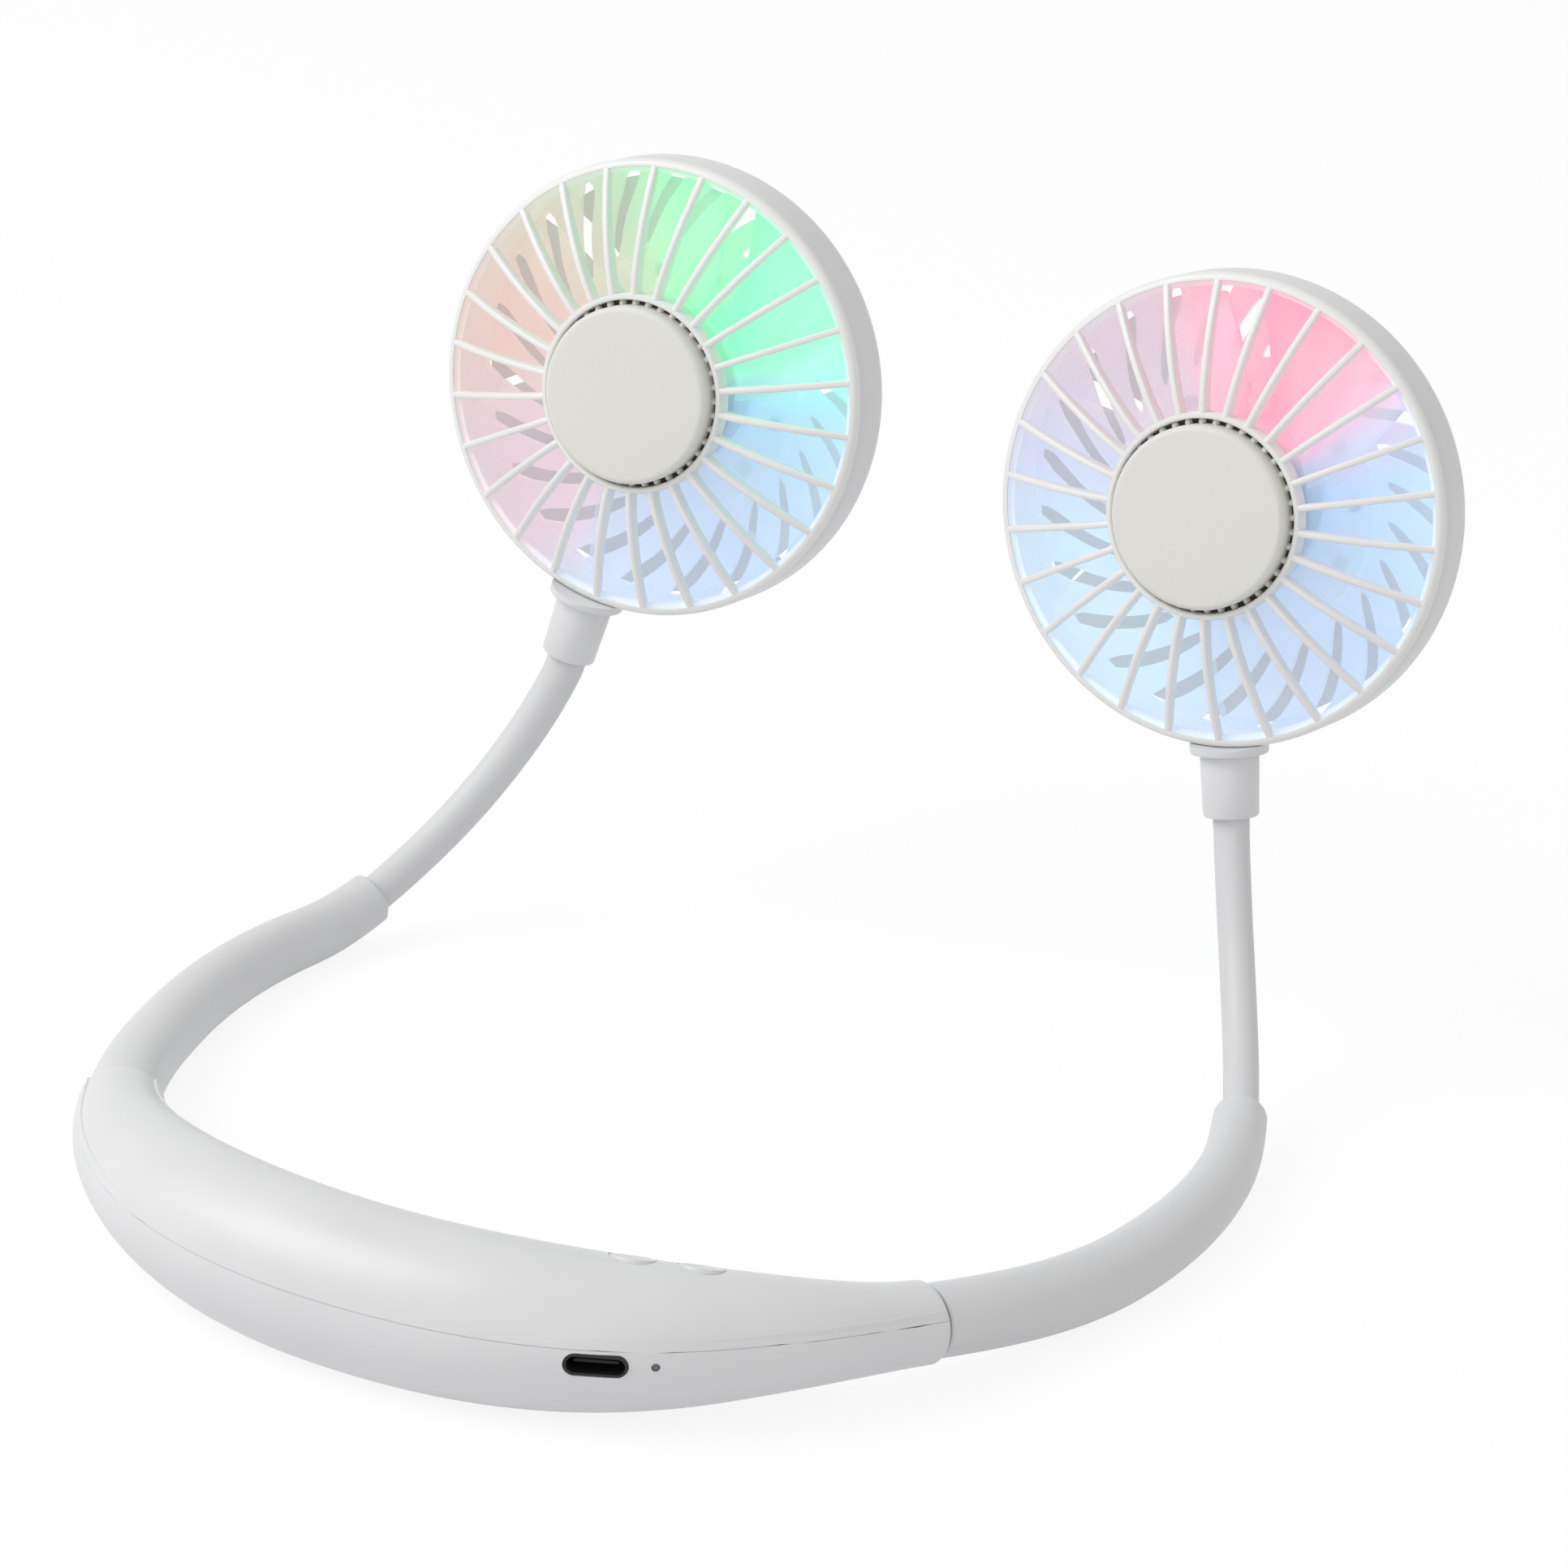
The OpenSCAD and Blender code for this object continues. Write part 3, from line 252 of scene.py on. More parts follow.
def draw_tube(name, rings, sides):
    """An open tube along X, drawn out ring by ring. A ring is (place, half width, half height)."""
    place, wide, tall = rings[0]
    bpy.ops.object.select_all(action="DESELECT")
    bpy.ops.mesh.primitive_circle_add(vertices=sides, radius=wide, rotation=(0, math.pi / 2, 0))
    tube = bpy.context.object
    tube.name = name
    bpy.ops.object.transform_apply(rotation=True)
    bpy.ops.object.mode_set(mode="EDIT")
    bpy.ops.mesh.select_all(action="SELECT")
    bpy.ops.transform.resize(value=(1, 1, tall / wide), center_override=(0, 0, 0))
    bpy.ops.transform.translate(value=(place, 0, 0))
    for next_place, next_wide, next_tall in rings[1:]:
        bpy.ops.mesh.extrude_region_move(
            TRANSFORM_OT_translate={"value": (next_place - place, 0, 0)}
        )
        bpy.ops.transform.resize(
            value=(1, next_wide / wide, next_tall / tall), center_override=(next_place, 0, 0)
        )
        place, wide, tall = next_place, next_wide, next_tall
    bpy.ops.object.mode_set(mode="OBJECT")
    return tube


def tidy_mesh(piece, merge=0.01 * MM):
    """Merges doubled points and turns every face outwards."""
    only(piece)
    bpy.ops.object.mode_set(mode="EDIT")
    bpy.ops.mesh.select_all(action="SELECT")
    bpy.ops.mesh.remove_doubles(threshold=merge)
    bpy.ops.mesh.normals_make_consistent(inside=False)
    bpy.ops.object.mode_set(mode="OBJECT")


def apply_modifier(piece, kind, **settings):
    """Adds a modifier to a piece, sets it and applies it."""
    only(piece)
    modifier = piece.modifiers.new(kind.lower(), kind)
    for setting, value in settings.items():
        setattr(modifier, setting, value)
    bpy.ops.object.modifier_apply(modifier=modifier.name)


def route(name, points):
    """A smooth guide line through a list of points, along which a straight piece is bent."""
    line = bpy.data.curves.new(name, "CURVE")
    line.dimensions = "3D"
    line.twist_mode = "Z_UP"
    line.resolution_u = 2
    spline = line.splines.new("NURBS")
    spline.points.add(len(points) - 1)
    for point, place in zip(spline.points, points):
        point.co = (*place, 1)
    spline.order_u = 3
    spline.use_endpoint_u = True
    guide = bpy.data.objects.new(name, line)
    bpy.context.scene.collection.objects.link(guide)
    return guide


def bend_along(piece, guide):
    apply_modifier(piece, "CURVE", object=guide, deform_axis="POS_X")


def cut_away(piece, cutter):
    """Cuts one piece with another, which is then gone."""
    apply_modifier(piece, "BOOLEAN", object=cutter, operation="DIFFERENCE", solver="EXACT")
    bpy.data.objects.remove(cutter)


def smooth(piece, angle=32):
    only(piece)
    bpy.ops.object.shade_smooth_by_angle(angle=math.radians(angle))


def keep_side(piece, level, keep_above, fill=False):
    """Cuts a piece at a level and keeps what is above or below it. The cut stays selected."""
    only(piece)
    bpy.ops.object.mode_set(mode="EDIT")
    bpy.ops.mesh.select_mode(type="EDGE")
    bpy.ops.mesh.select_all(action="SELECT")
    bpy.ops.mesh.bisect(
        plane_co=(0, 0, level), plane_no=(0, 0, 1), use_fill=fill,
        clear_inner=keep_above, clear_outer=not keep_above,
    )


def moulded(name, color, roughness, grain, mottle=0.02):
    """Moulded plastic: a fine grain, and slight cloudy changes in colour and gloss."""
    material, nodes, links, shader = new_material(name)
    place = nodes.new("ShaderNodeTexCoord")
    cloud = nodes.new("ShaderNodeTexNoise")
    cloud.inputs["Scale"].default_value = 55
    cloud.inputs["Detail"].default_value = 2
    links.new(place.outputs["Object"], cloud.inputs["Vector"])
    tone = nodes.new("ShaderNodeValToRGB")
    tone.color_ramp.elements[0].position = 0.3
    tone.color_ramp.elements[1].position = 0.7
    tone.color_ramp.elements[0].color = (*[c * (1 - mottle) for c in color[:3]], 1)
    tone.color_ramp.elements[1].color = (*[c * (1 + mottle) for c in color[:3]], 1)
    links.new(cloud.outputs["Fac"], tone.inputs["Fac"])
    links.new(tone.outputs["Color"], shader.inputs["Base Color"])
    sheen = nodes.new("ShaderNodeMapRange")
    sheen.inputs["To Min"].default_value = roughness - 0.04
    sheen.inputs["To Max"].default_value = roughness + 0.04
    links.new(cloud.outputs["Fac"], sheen.inputs["Value"])
    links.new(sheen.outputs["Result"], shader.inputs["Roughness"])
    fine = nodes.new("ShaderNodeTexNoise")
    fine.inputs["Scale"].default_value = 2600
    fine.inputs["Detail"].default_value = 1
    links.new(place.outputs["Object"], fine.inputs["Vector"])
    bump = nodes.new("ShaderNodeBump")
    bump.inputs["Strength"].default_value = grain
    bump.inputs["Distance"].default_value = 0.05 * MM
    links.new(fine.outputs["Fac"], bump.inputs["Height"])
    links.new(bump.outputs["Normal"], shader.inputs["Normal"])
    return material


def dress(piece, name, body, material, slot, *nodes):
    """Names a finished piece, gives it its finish, and lets it ride in place of its CAD nodes."""
    piece.name = name
    if not piece.data.materials:
        piece.data.materials.append(material)
    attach(piece, body)
    if nodes:
        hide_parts(*nodes)


white_plastic = moulded("white_plastic", housing_color, 0.36, 0.12)
bow_guide = route("bow_guide", bow_line)
edge_round = 0.45 * MM
housing_end = half - seam_gap / 2
housing_places = [-housing_end, -housing_end + 0.15 * MM, -housing_end + edge_round]
housing_places += [mix(-1, 1, i / 72) * (housing_end - 2 * edge_round) for i in range(73)]
housing_places += [-s for s in reversed(housing_places[:3])]
housing_rings = []
for s in housing_places:
    inset = edge_round * (1 - min((housing_end - abs(s)) / edge_round, 1)) ** 2 * 0.8
    housing_rings.append((along(s), half_depth(s) - inset, half_height(s) - inset))


def make_shell(name, top):
    """One shell: the bow's skin, cut along the parting line, grooved there and given its wall."""
    shell = draw_tube(name, housing_rings, 72)
    level = parting_rise + (parting_groove if top else -parting_groove)
    keep_side(shell, level, top)
    down = -parting_groove if top else parting_groove
    bpy.ops.mesh.extrude_region_move(TRANSFORM_OT_translate={"value": (0, 0, down * 0.8)})
    bpy.ops.transform.resize(value=(1, 0.982, 1), center_override=(0, 0, 0))
    bpy.ops.object.mode_set(mode="OBJECT")
    bend_along(shell, bow_guide)
    if not top:
        keep_side(shell, 0, True, fill=True)
    tidy_mesh(shell)
    apply_modifier(shell, "SOLIDIFY", thickness=shell_wall, offset=-1, use_even_offset=True)
    for point in shell.data.vertices:
        point.co.z = max(point.co.z, 0)
    return shell


upper_shell = make_shell("upper_shell_skin", True)
lower_shell = make_shell("lower_shell_skin", False)

# The charging socket and its light: a flat slot with round ends in the lower shell's back,
# lined by the socket with its tongue in near black, painted shade for the slot's dark inside,
# and a pinhole with a small clear light beside it.
port_along, light_along = 34 * MM, 41.4 * MM
port_rise = 0.6 * MM
port_w, port_h, port_deep = 9.4 * MM, 3.5 * MM, 7.3 * MM
cut_out, cut_in = -3 * MM, 5 * MM
light_d = 1.2 * MM
# The socket and its tongue are near black: painted shade for the dark inside of the slot.
socket_black = moulded("socket_black", (0.006, 0.006, 0.007, 1), 0.55, 0.05, 0.1)


def level_frame(s, y, z):
    """A place on the bow, turned with it but level: X along the bow, Y towards the neck."""
    turned = Matrix.Rotation(math.radians(turn_at(s)), 4, "Z")
    return Matrix.Translation(on_bow(s)) @ turned @ Matrix.Translation((0, y, z))


def close_ends(piece):
    """Closes each open end of a tube with one face."""
    only(piece)
    bpy.ops.object.mode_set(mode="EDIT")
    bpy.ops.mesh.select_mode(type="EDGE")
    bpy.ops.mesh.select_all(action="DESELECT")
    bpy.ops.mesh.select_non_manifold(extend=False)
    bpy.ops.mesh.edge_face_add()
    bpy.ops.object.mode_set(mode="OBJECT")


def join_to(piece, others):
    """Joins other pieces to a piece."""
    only(piece)
    for other in others:
        other.select_set(True)
    bpy.ops.object.join()


def make_pill(name, rings, frame_matrix):
    """A closed rod with a pill's outline. A ring is (way inwards, half length, half height)."""
    sides = 32
    pill = draw_tube(name, [(ring[0], 1, 1) for ring in rings], sides)
    for i, (place, half_w, half_h) in enumerate(rings):
        for point in pill.data.vertices[sides * i:sides * (i + 1)]:
            side = math.copysign(half_w - half_h, point.co.y)
            point.co.y = point.co.y * half_h + side
            point.co.z = point.co.z * half_h
    close_ends(pill)
    pill.data.transform(frame_matrix @ Matrix.Rotation(math.radians(90), 4, "Z"))
    tidy_mesh(pill)
    return pill


mouth_y = -half_depth(port_along)
port_frame = level_frame(port_along, mouth_y, port_rise)
cut_away(lower_shell, make_pill(
    "port_cut", [(cut_out, port_w / 2, port_h / 2), (cut_in, port_w / 2, port_h / 2)],
    port_frame))
light_y = -half_depth(light_along)
light_frame = level_frame(light_along, light_y, port_rise)
light_r = light_d / 2 + 0.05 * MM
cut_away(lower_shell, make_pill(
    "light_cut", [(cut_out, light_r, light_r), (cut_in, light_r, light_r)], light_frame))

liner_w, liner_h = port_w / 2 - 0.04 * MM, port_h / 2 - 0.04 * MM
liner_wall = 0.45 * MM
port_liner = make_pill("port_liner_rod", [
    (0.12 * MM, liner_w - liner_wall, liner_h - liner_wall),
    (0.12 * MM, liner_w - 0.1 * MM, liner_h - 0.1 * MM),
    (0.25 * MM, liner_w, liner_h),
    (port_deep, liner_w, liner_h),
], port_frame)
cut_away(port_liner, make_pill("liner_cut", [
    (-1 * MM, liner_w - liner_wall, liner_h - liner_wall),
    (port_deep - liner_wall, liner_w - liner_wall, liner_h - liner_wall),
], port_frame))
tongue = make_pill("tongue", [
    (1.6 * MM, 3.2 * MM, 0.22 * MM),
    (1.8 * MM, 3.3 * MM, 0.35 * MM),
    (port_deep - 0.3 * MM, 3.3 * MM, 0.35 * MM),
], port_frame)
smooth(port_liner)
smooth(tongue)
join_to(port_liner, [tongue])
dress(port_liner, "port_liner", "housing", socket_black, "port_steel", "usb_socket")

light_clear = moulded("light_clear", (0.16, 0.16, 0.165, 1), 0.2, 0.03)
light_rod = make_pill("light_rod", [
    (0.3 * MM, 0.35 * MM, 0.35 * MM),
    (0.4 * MM, light_d / 2, light_d / 2),
    (7 * MM, light_d / 2, light_d / 2),
], light_frame)
smooth(light_rod)
dress(light_rod, "charge_lamp", "housing", light_clear, "clear_plastic", "charge_light")

# The two buttons: round dished caps of the housing's plastic, side by side on top of it, each
# in a close hole in the upper shell, and on a spring switch below.
button_along, button_gap, button_d = 43 * MM, 10 * MM, 7 * MM
button_lean = 22
button_play = 0.12 * MM
button_skin = 1 / math.hypot(
    math.sin(math.radians(button_lean)) / half_depth(button_along),
    math.cos(math.radians(button_lean)) / half_height(button_along),
)
press_axis = Vector(next(j for j in frame["joints"] if j["name"] == "fan_button_press")["axis"])
leaned = level_frame(button_along, 0, 0) @ Matrix.Rotation(math.radians(-button_lean), 4, "X")
button_middle = leaned @ Vector((0, 0, button_skin))
button_up = -press_axis
button_side = (leaned.to_3x3() @ Vector((1, 0, 0)))
button_side = (button_side - button_side.dot(button_up) * button_up).normalized()
button_frame = Matrix((button_side, button_up.cross(button_side), button_up)).transposed().to_4x4()


def lathe(name, outline, sides=96):
    """A turned piece about Z. Its outline is (radius, level), from axis to axis or closed."""
    rings = [(z, max(r, 0.004 * MM), max(r, 0.004 * MM)) for r, z in outline]
    piece = draw_tube(name, rings, sides)
    piece.data.transform(Matrix.Rotation(math.radians(-90), 4, "Y"))
    tidy_mesh(piece)
    return piece


def arc(centre_r, centre_z, radius, start, end, steps):
    """Points of an arc for an outline, with angles from straight outwards, in degrees."""
    points = []
    for i in range(steps + 1):
        a = math.radians(mix(start, end, i / steps))
        points.append((centre_r + radius * math.cos(a), centre_z + radius * math.sin(a)))
    return points


button_r = button_d / 2
dish_low = 0.28 * MM
button_outline = [
    (0, -2.8 * MM), (button_r + 0.7 * MM, -2.8 * MM), (button_r + 0.7 * MM, -2.0 * MM),
    (button_r, -2.0 * MM), (button_r, -0.25 * MM), (button_r - 0.08 * MM, -0.07 * MM),
    (button_r - 0.25 * MM, 0), (button_r - 0.45 * MM, -0.02 * MM),
    (2.4 * MM, -0.15 * MM), (1.2 * MM, -0.25 * MM), (0, -dish_low),
]
button = lathe("button", button_outline, 64)
smooth(button)
for name, side in (("fan_button", -1), ("light_button", 1)):
    place = button_middle + side * button_gap / 2 * button_side
    place_frame = Matrix.Translation(place) @ button_frame
    hole_r = button_r + button_play
    hole = lathe("hole", [(0, -6 * MM), (hole_r, -6 * MM), (hole_r, 4 * MM), (0, 4 * MM)], 64)
    hole.data.transform(place_frame)
    cut_away(upper_shell, hole)
    cap = button.copy()
    cap.data = button.data.copy()
    bpy.context.scene.collection.objects.link(cap)
    cap.data.transform(place_frame)
    dress(cap, name + "_cap", name, white_plastic, "body_plastic", name)
bpy.data.objects.remove(button)

for shell, level in ((upper_shell, "upper_"), (lower_shell, "lower_")):
    smooth(shell)
    dress(shell, level + "housing", "housing", white_plastic, "body_plastic", level + "shell")

# Inside the housing, the arms and the heads, out of sight: the cells in their foil, the board
# with its parts, the leads, the screws, the steel that carries each arm, and the motors.


def plated(name, color, roughness, scale=900):
    """Metal with a faint brushed change in gloss and tone."""
    material, nodes, links, shader = new_material(name)
    shader.inputs["Metallic"].default_value = 1
    place = nodes.new("ShaderNodeTexCoord")
    grain = nodes.new("ShaderNodeTexNoise")
    grain.inputs["Scale"].default_value = scale
    links.new(place.outputs["Object"], grain.inputs["Vector"])
    tone = nodes.new("ShaderNodeValToRGB")
    tone.color_ramp.elements[0].color = (*[c * 0.9 for c in color], 1)
    tone.color_ramp.elements[1].color = (*color, 1)
    links.new(grain.outputs["Fac"], tone.inputs["Fac"])
    links.new(tone.outputs["Color"], shader.inputs["Base Color"])
    sheen = nodes.new("ShaderNodeMapRange")
    sheen.inputs["To Min"].default_value = roughness
    sheen.inputs["To Max"].default_value = roughness + 0.12
    links.new(grain.outputs["Fac"], sheen.inputs["Value"])
    links.new(sheen.outputs["Result"], shader.inputs["Roughness"])
    return material


def refinish(node, material):
    """Gives a CAD node its finish."""
    mesh = frame["nodes"][node].data
    mesh.materials.clear()
    mesh.materials.append(material)


core_steel = plated("core_steel", (0.5, 0.51, 0.53), 0.35)
bright_steel = plated("bright_steel", (0.78, 0.78, 0.8), 0.15)
cell_foil = plated("cell_foil", (0.68, 0.69, 0.71), 0.3, 200)
wire_copper = plated("wire_copper", (0.72, 0.36, 0.17), 0.3, 3000)
board_green = moulded("board_green", (0.05, 0.22, 0.1, 1), 0.3, 0.1, 0.12)
lead_red = moulded("lead_red", (0.55, 0.05, 0.045, 1), 0.4, 0.1, 0.05)
seam_grey = moulded("seam_grey", (0.33, 0.33, 0.335, 1), 0.5, 0.1)
carried = {
    "board_screws": bright_steel, "battery_cells": cell_foil, "battery_leads": lead_red,
    "circuit_board": board_green, "button_switches": core_steel,
}
for side in ("left_", "right_"):
    carried[side + "arm_pivot"] = seam_grey
    carried[side + "motor_lead"] = lead_red
    carried[side + "windings"] = wire_copper
    for node in ("arm_coupler", "arm_spine", "neck_link_1", "neck_link_2", "neck_link_3",
                 "neck_tip", "stator", "rotor"):
        carried[side + node] = core_steel
    for node in ("swivel_clip", "head_screws", "bearings", "motor_shaft"):
        carried[side + node] = bright_steel
for node, material in carried.items():
    refinish(node, material)

# The arms: slim bent covers of the same plastic over a steel spine, with a fine raised line
# along each side, rounded where they meet the housing and bevelled at the ends.
arm_root_w, arm_end_w = 11.8 * MM, 8.6 * MM
arm_wall = 1.1 * MM
arm_lift = 0.62 * MM
arm_bevel = 0.6 * MM


def arm_ring(s, inset):
    """A ring of the arm's cover, taller by the lift that the side crease takes away again."""
    t = (s - arm_root) / (path_len - arm_root)
    a = mix(arm_root_w, arm_end_w, t * t) / 2 - inset
    tall = arm_half_height(s) - inset + arm_lift
    return a / math.sqrt(1 - (arm_lift / tall) ** 2), tall


arm_places = [(arm_root, 0.4 * MM), (arm_root + 0.12 * MM, 0.14 * MM), (arm_root + 0.4 * MM, 0)]
arm_steps = 60
for i in range(1, arm_steps):
    arm_places.append((mix(arm_root + 0.4 * MM, path_len - arm_bevel, i / arm_steps), 0))
arm_places += [(path_len - arm_bevel, 0), (path_len, arm_bevel * 0.9)]


def make_arm(side):
    rings = []
    for s, inset in arm_places:
        wide, tall = arm_ring(s, inset)
        rings.append((along(side * s), wide, tall))
    if side < 0:
        rings.reverse()
    arm = draw_tube("arm", rings, 64)
    keep_side(arm, arm_lift, True)
    bpy.ops.mesh.select_all(action="SELECT")
    bpy.ops.transform.translate(value=(0, 0, -arm_lift))
    bpy.ops.object.mode_set(mode="OBJECT")
    apply_modifier(arm, "MIRROR", use_axis=(False, False, True), merge_threshold=0.02 * MM)
    tidy_mesh(arm, 0.02 * MM)
    apply_modifier(arm, "SOLIDIFY", thickness=arm_wall, offset=-1, use_even_offset=True)
    bend_along(arm, bow_guide)
    smooth(arm, 16)
    return arm


arm_plastic = moulded("arm_plastic", (0.735, 0.735, 0.742, 1), 0.4, 0.12)
for name, side in (("left_", -1), ("right_", 1)):
    dress(make_arm(side), name + "arm_cover", name + "arm", arm_plastic, "body_plastic",
          name + "arm_sleeve")
bpy.data.objects.remove(bow_guide)

# The necks: a soft oval cover over a bendable core, from inside the arm's end into the socket.
# Each cover is cut where a core link is straight, so that every length lies round one joint.
neck_w, neck_h, neck_tail, neck_inset = 5.8 * MM, 6.8 * MM, 2.2 * MM, 3 * MM
neck_run = 50.6 * MM
socket_depth = 2.1 * MM
neck_ways = {
    "left_": ([113, 119, 127, 135, 143], [28, 37, 48, 57, 67], (153, 75.5)),
    "right_": ([112, 116, 120, 125, 132], [15, 29, 44, 59, 73], (141, 77)),
}
neck_color = (0.72, 0.72, 0.727, 1)


def way(heading, rise):
    h, e = math.radians(heading), math.radians(rise)
    return Vector((math.cos(h) * math.cos(e), math.sin(h) * math.cos(e), math.sin(e)))


def spread(values, t):
    k = min(max(t, 0), 1) * (len(values) - 1)
    i = min(int(k), len(values) - 2)
    return mix(values[i], values[i + 1], k - i)


def neck_line(side):
    """The neck's middle from inside the arm to inside the socket, and the places of its joints."""
    turns, rises, socket_way = neck_ways[side]
    end = right_line[360]
    arm_way = (end - right_line[356]).normalized()
    points = [end - neck_inset * arm_way, end - neck_inset / 2 * arm_way, end]
    first = end + neck_tail * way(turns[0], rises[0])
    points += [end.lerp(first, 0.5), first]
    joints = [len(points) - 1]
    link_steps = 14
    steps = 3 * link_steps
    for i in range(steps):
        t = (i + 0.5) / steps
        points.append(points[-1] + neck_run / steps * way(spread(turns, t), spread(rises, t)))
        if (i + 1) % link_steps == 0:
            joints.append(len(points) - 1)
    out = way(*socket_way)
    last = points[-1]
    points += [last + k * MM * out for k in (1.1, 2.2, 3.3)]
    points.append(last + (neck_tail + socket_depth) * out)
    if side == "left_":
        points = [Vector((-p.x, p.y, p.z)) for p in points]
    return points, joints


soft_cover = moulded("soft_cover", neck_color, 0.48, 0.2, 0.015)
for side in ("left_", "right_"):
    points, joints = neck_line(side)
    lengths = [0]
    for a, b in zip(points, points[1:]):
        lengths.append(lengths[-1] + (b - a).length)
    places = [lengths[k] for k in joints]
    cuts = [0] + [(a + b) / 2 for a, b in zip(places, places[1:])] + [lengths[-1]]
    guide = route("neck_guide", points)
    for i, (start, end) in enumerate(zip(cuts, cuts[1:])):
        steps = 16
        rings = [(start, neck_w / 2 * 0.8, neck_h / 2 * 0.8)] if i == 0 else []
        rings += [(mix(start, end, k / steps), neck_w / 2, neck_h / 2) for k in range(steps + 1)]
        length = draw_tube("neck_length", rings, 36)
        close_ends(length)
        bend_along(length, guide)
        tidy_mesh(length)
        smooth(length, 50)
        length.name = side + "neck_length_" + str(i + 1)
        length.data.materials.append(soft_cover)
        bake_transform(length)
        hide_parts(side + "neck_sleeve")
    bpy.data.objects.remove(guide)

# The sockets: short tapered collars of the same plastic. The neck ends in the lower end, and
# the head's pin turns in the upper one.
socket_len = 10.4 * MM
socket = lathe("socket", [
    (0, 5.4 * MM), (1.42 * MM, 5.4 * MM), (1.42 * MM, 2.4 * MM), (3.7 * MM, 2.4 * MM),
    (3.7 * MM, 0.1 * MM), (3.85 * MM, 0), (4.1 * MM, 0), (4.45 * MM, 0.15 * MM),
    (4.62 * MM, 0.5 * MM), (4.88 * MM, 10.1 * MM), (4.8 * MM, 10.3 * MM),
    (4.6 * MM, socket_len), (2.3 * MM, socket_len),
    (2.3 * MM, 8.2 * MM), (3.5 * MM, 8.2 * MM), (3.5 * MM, 6.4 * MM), (0, 6.4 * MM),
], 72)
smooth(socket)
joint_named = {j["name"]: j for j in frame["joints"]}


def head_frame(side):
    """The head's own frame: Z out of its face, Y along the stem, origin in the rim's plane."""
    face = Vector(joint_named[side + "fan_spin"]["axis"])
    stem = Vector(joint_named[side + "head_swivel"]["axis"])
    turned = Matrix((stem.cross(face), stem, face)).transposed().to_4x4()
    return Matrix.Translation(joint_named[side + "fan_spin"]["pos_m"]) @ turned


def copy_to(piece, matrix):
    """A copy of a piece with its own mesh, set in place by its points."""
    copy = piece.copy()
    copy.data = piece.data.copy()
    bpy.context.scene.collection.objects.link(copy)
    copy.data.transform(matrix)
    return copy


for side in ("left_", "right_"):
    stem = head_frame(side).to_3x3()
    upright = Matrix.Rotation(math.radians(-90), 4, "X")
    base = Matrix.Translation(joint_named[side + "head_swivel"]["pos_m"]) @ stem.to_4x4() @ upright
    collar = copy_to(socket, base)
    dress(collar, side + "collar", side + "socket", white_plastic, "body_plastic",
          side + "neck_socket")
bpy.data.objects.remove(socket)

# The drum of each head: a smooth round shell with a rounded rear edge, curved slots through
# its back, and the flange and pin under it. Its inside carries painted lamp light, a coloured
# glow painted on where the coloured lamps shine.
opening_r, drum_wall, drum_depth, rear_round = 37.5 * MM, 1.3 * MM, 15 * MM, 6.2 * MM
drum_r = opening_r + drum_wall
rim_t = 1.6 * MM
head_reach, stem_back = 40 * MM, 2.5 * MM
slot_count = 24
slot_start_r, slot_start_w, slot_end_w = 24 * MM, 2.2 * MM, 3.6 * MM
slot_turn, slot_end_share = -20, 0.55
back_flat_r = 20 * MM
fit = 0.02 * MM
round_r, round_z = drum_r - rear_round, rear_round - drum_depth
inner_round = rear_round - drum_wall
drum = lathe("drum", [(0, -drum_depth), (back_flat_r, -drum_depth)]
    + arc(round_r, round_z, rear_round, -90, 0, 12)
    + [(drum_r, -5 * MM), (drum_r, -rim_t - 0.25 * MM), (drum_r - 0.15 * MM, -rim_t - fit)]
    + [(opening_r, -rim_t - fit), (opening_r, -5 * MM)]
    + arc(round_r, round_z, inner_round, 0, -90, 8)
    + [(back_flat_r, drum_wall - drum_depth), (0, drum_wall - drum_depth)], 168)


def slot_cutter():
    """One curved slot, wider outwards, as a closed block that reaches past the rear face."""
    steps = 8
    bpy.ops.object.select_all(action="DESELECT")
    bpy.ops.mesh.primitive_grid_add(x_subdivisions=steps, y_subdivisions=1, size=1)
    block = bpy.context.object
    for point in block.data.vertices:
        t = point.co.x + 0.5
        r = mix(slot_start_r, opening_r - 0.2 * MM, t)
        wide = mix(slot_start_w, slot_end_w, t)
        wide *= slot_end_share if t < 0.01 or t > 0.99 else 1
        turn = math.radians(slot_turn * t) + math.copysign(math.asin(wide / 2 / r), point.co.y)
        point.co = (r * math.cos(turn), r * math.sin(turn), -drum_depth - 0.5 * MM)
    only(block)
    bpy.ops.object.mode_set(mode="EDIT")
    bpy.ops.mesh.select_all(action="SELECT")
    bpy.ops.mesh.extrude_region_move(TRANSFORM_OT_translate={"value": (0, 0, 4.8 * MM)})
    bpy.ops.object.mode_set(mode="OBJECT")
    return block


cutters = []
first_slot = slot_cutter()
for k in range(slot_count):
    turned = Matrix.Rotation(math.tau * (k + 0.5) / slot_count, 4, "Z")
    cutters.append(copy_to(first_slot, turned))
bpy.data.objects.remove(first_slot)
join_to(cutters[0], cutters[1:])
tidy_mesh(cutters[0])
cut_away(drum, cutters[0])
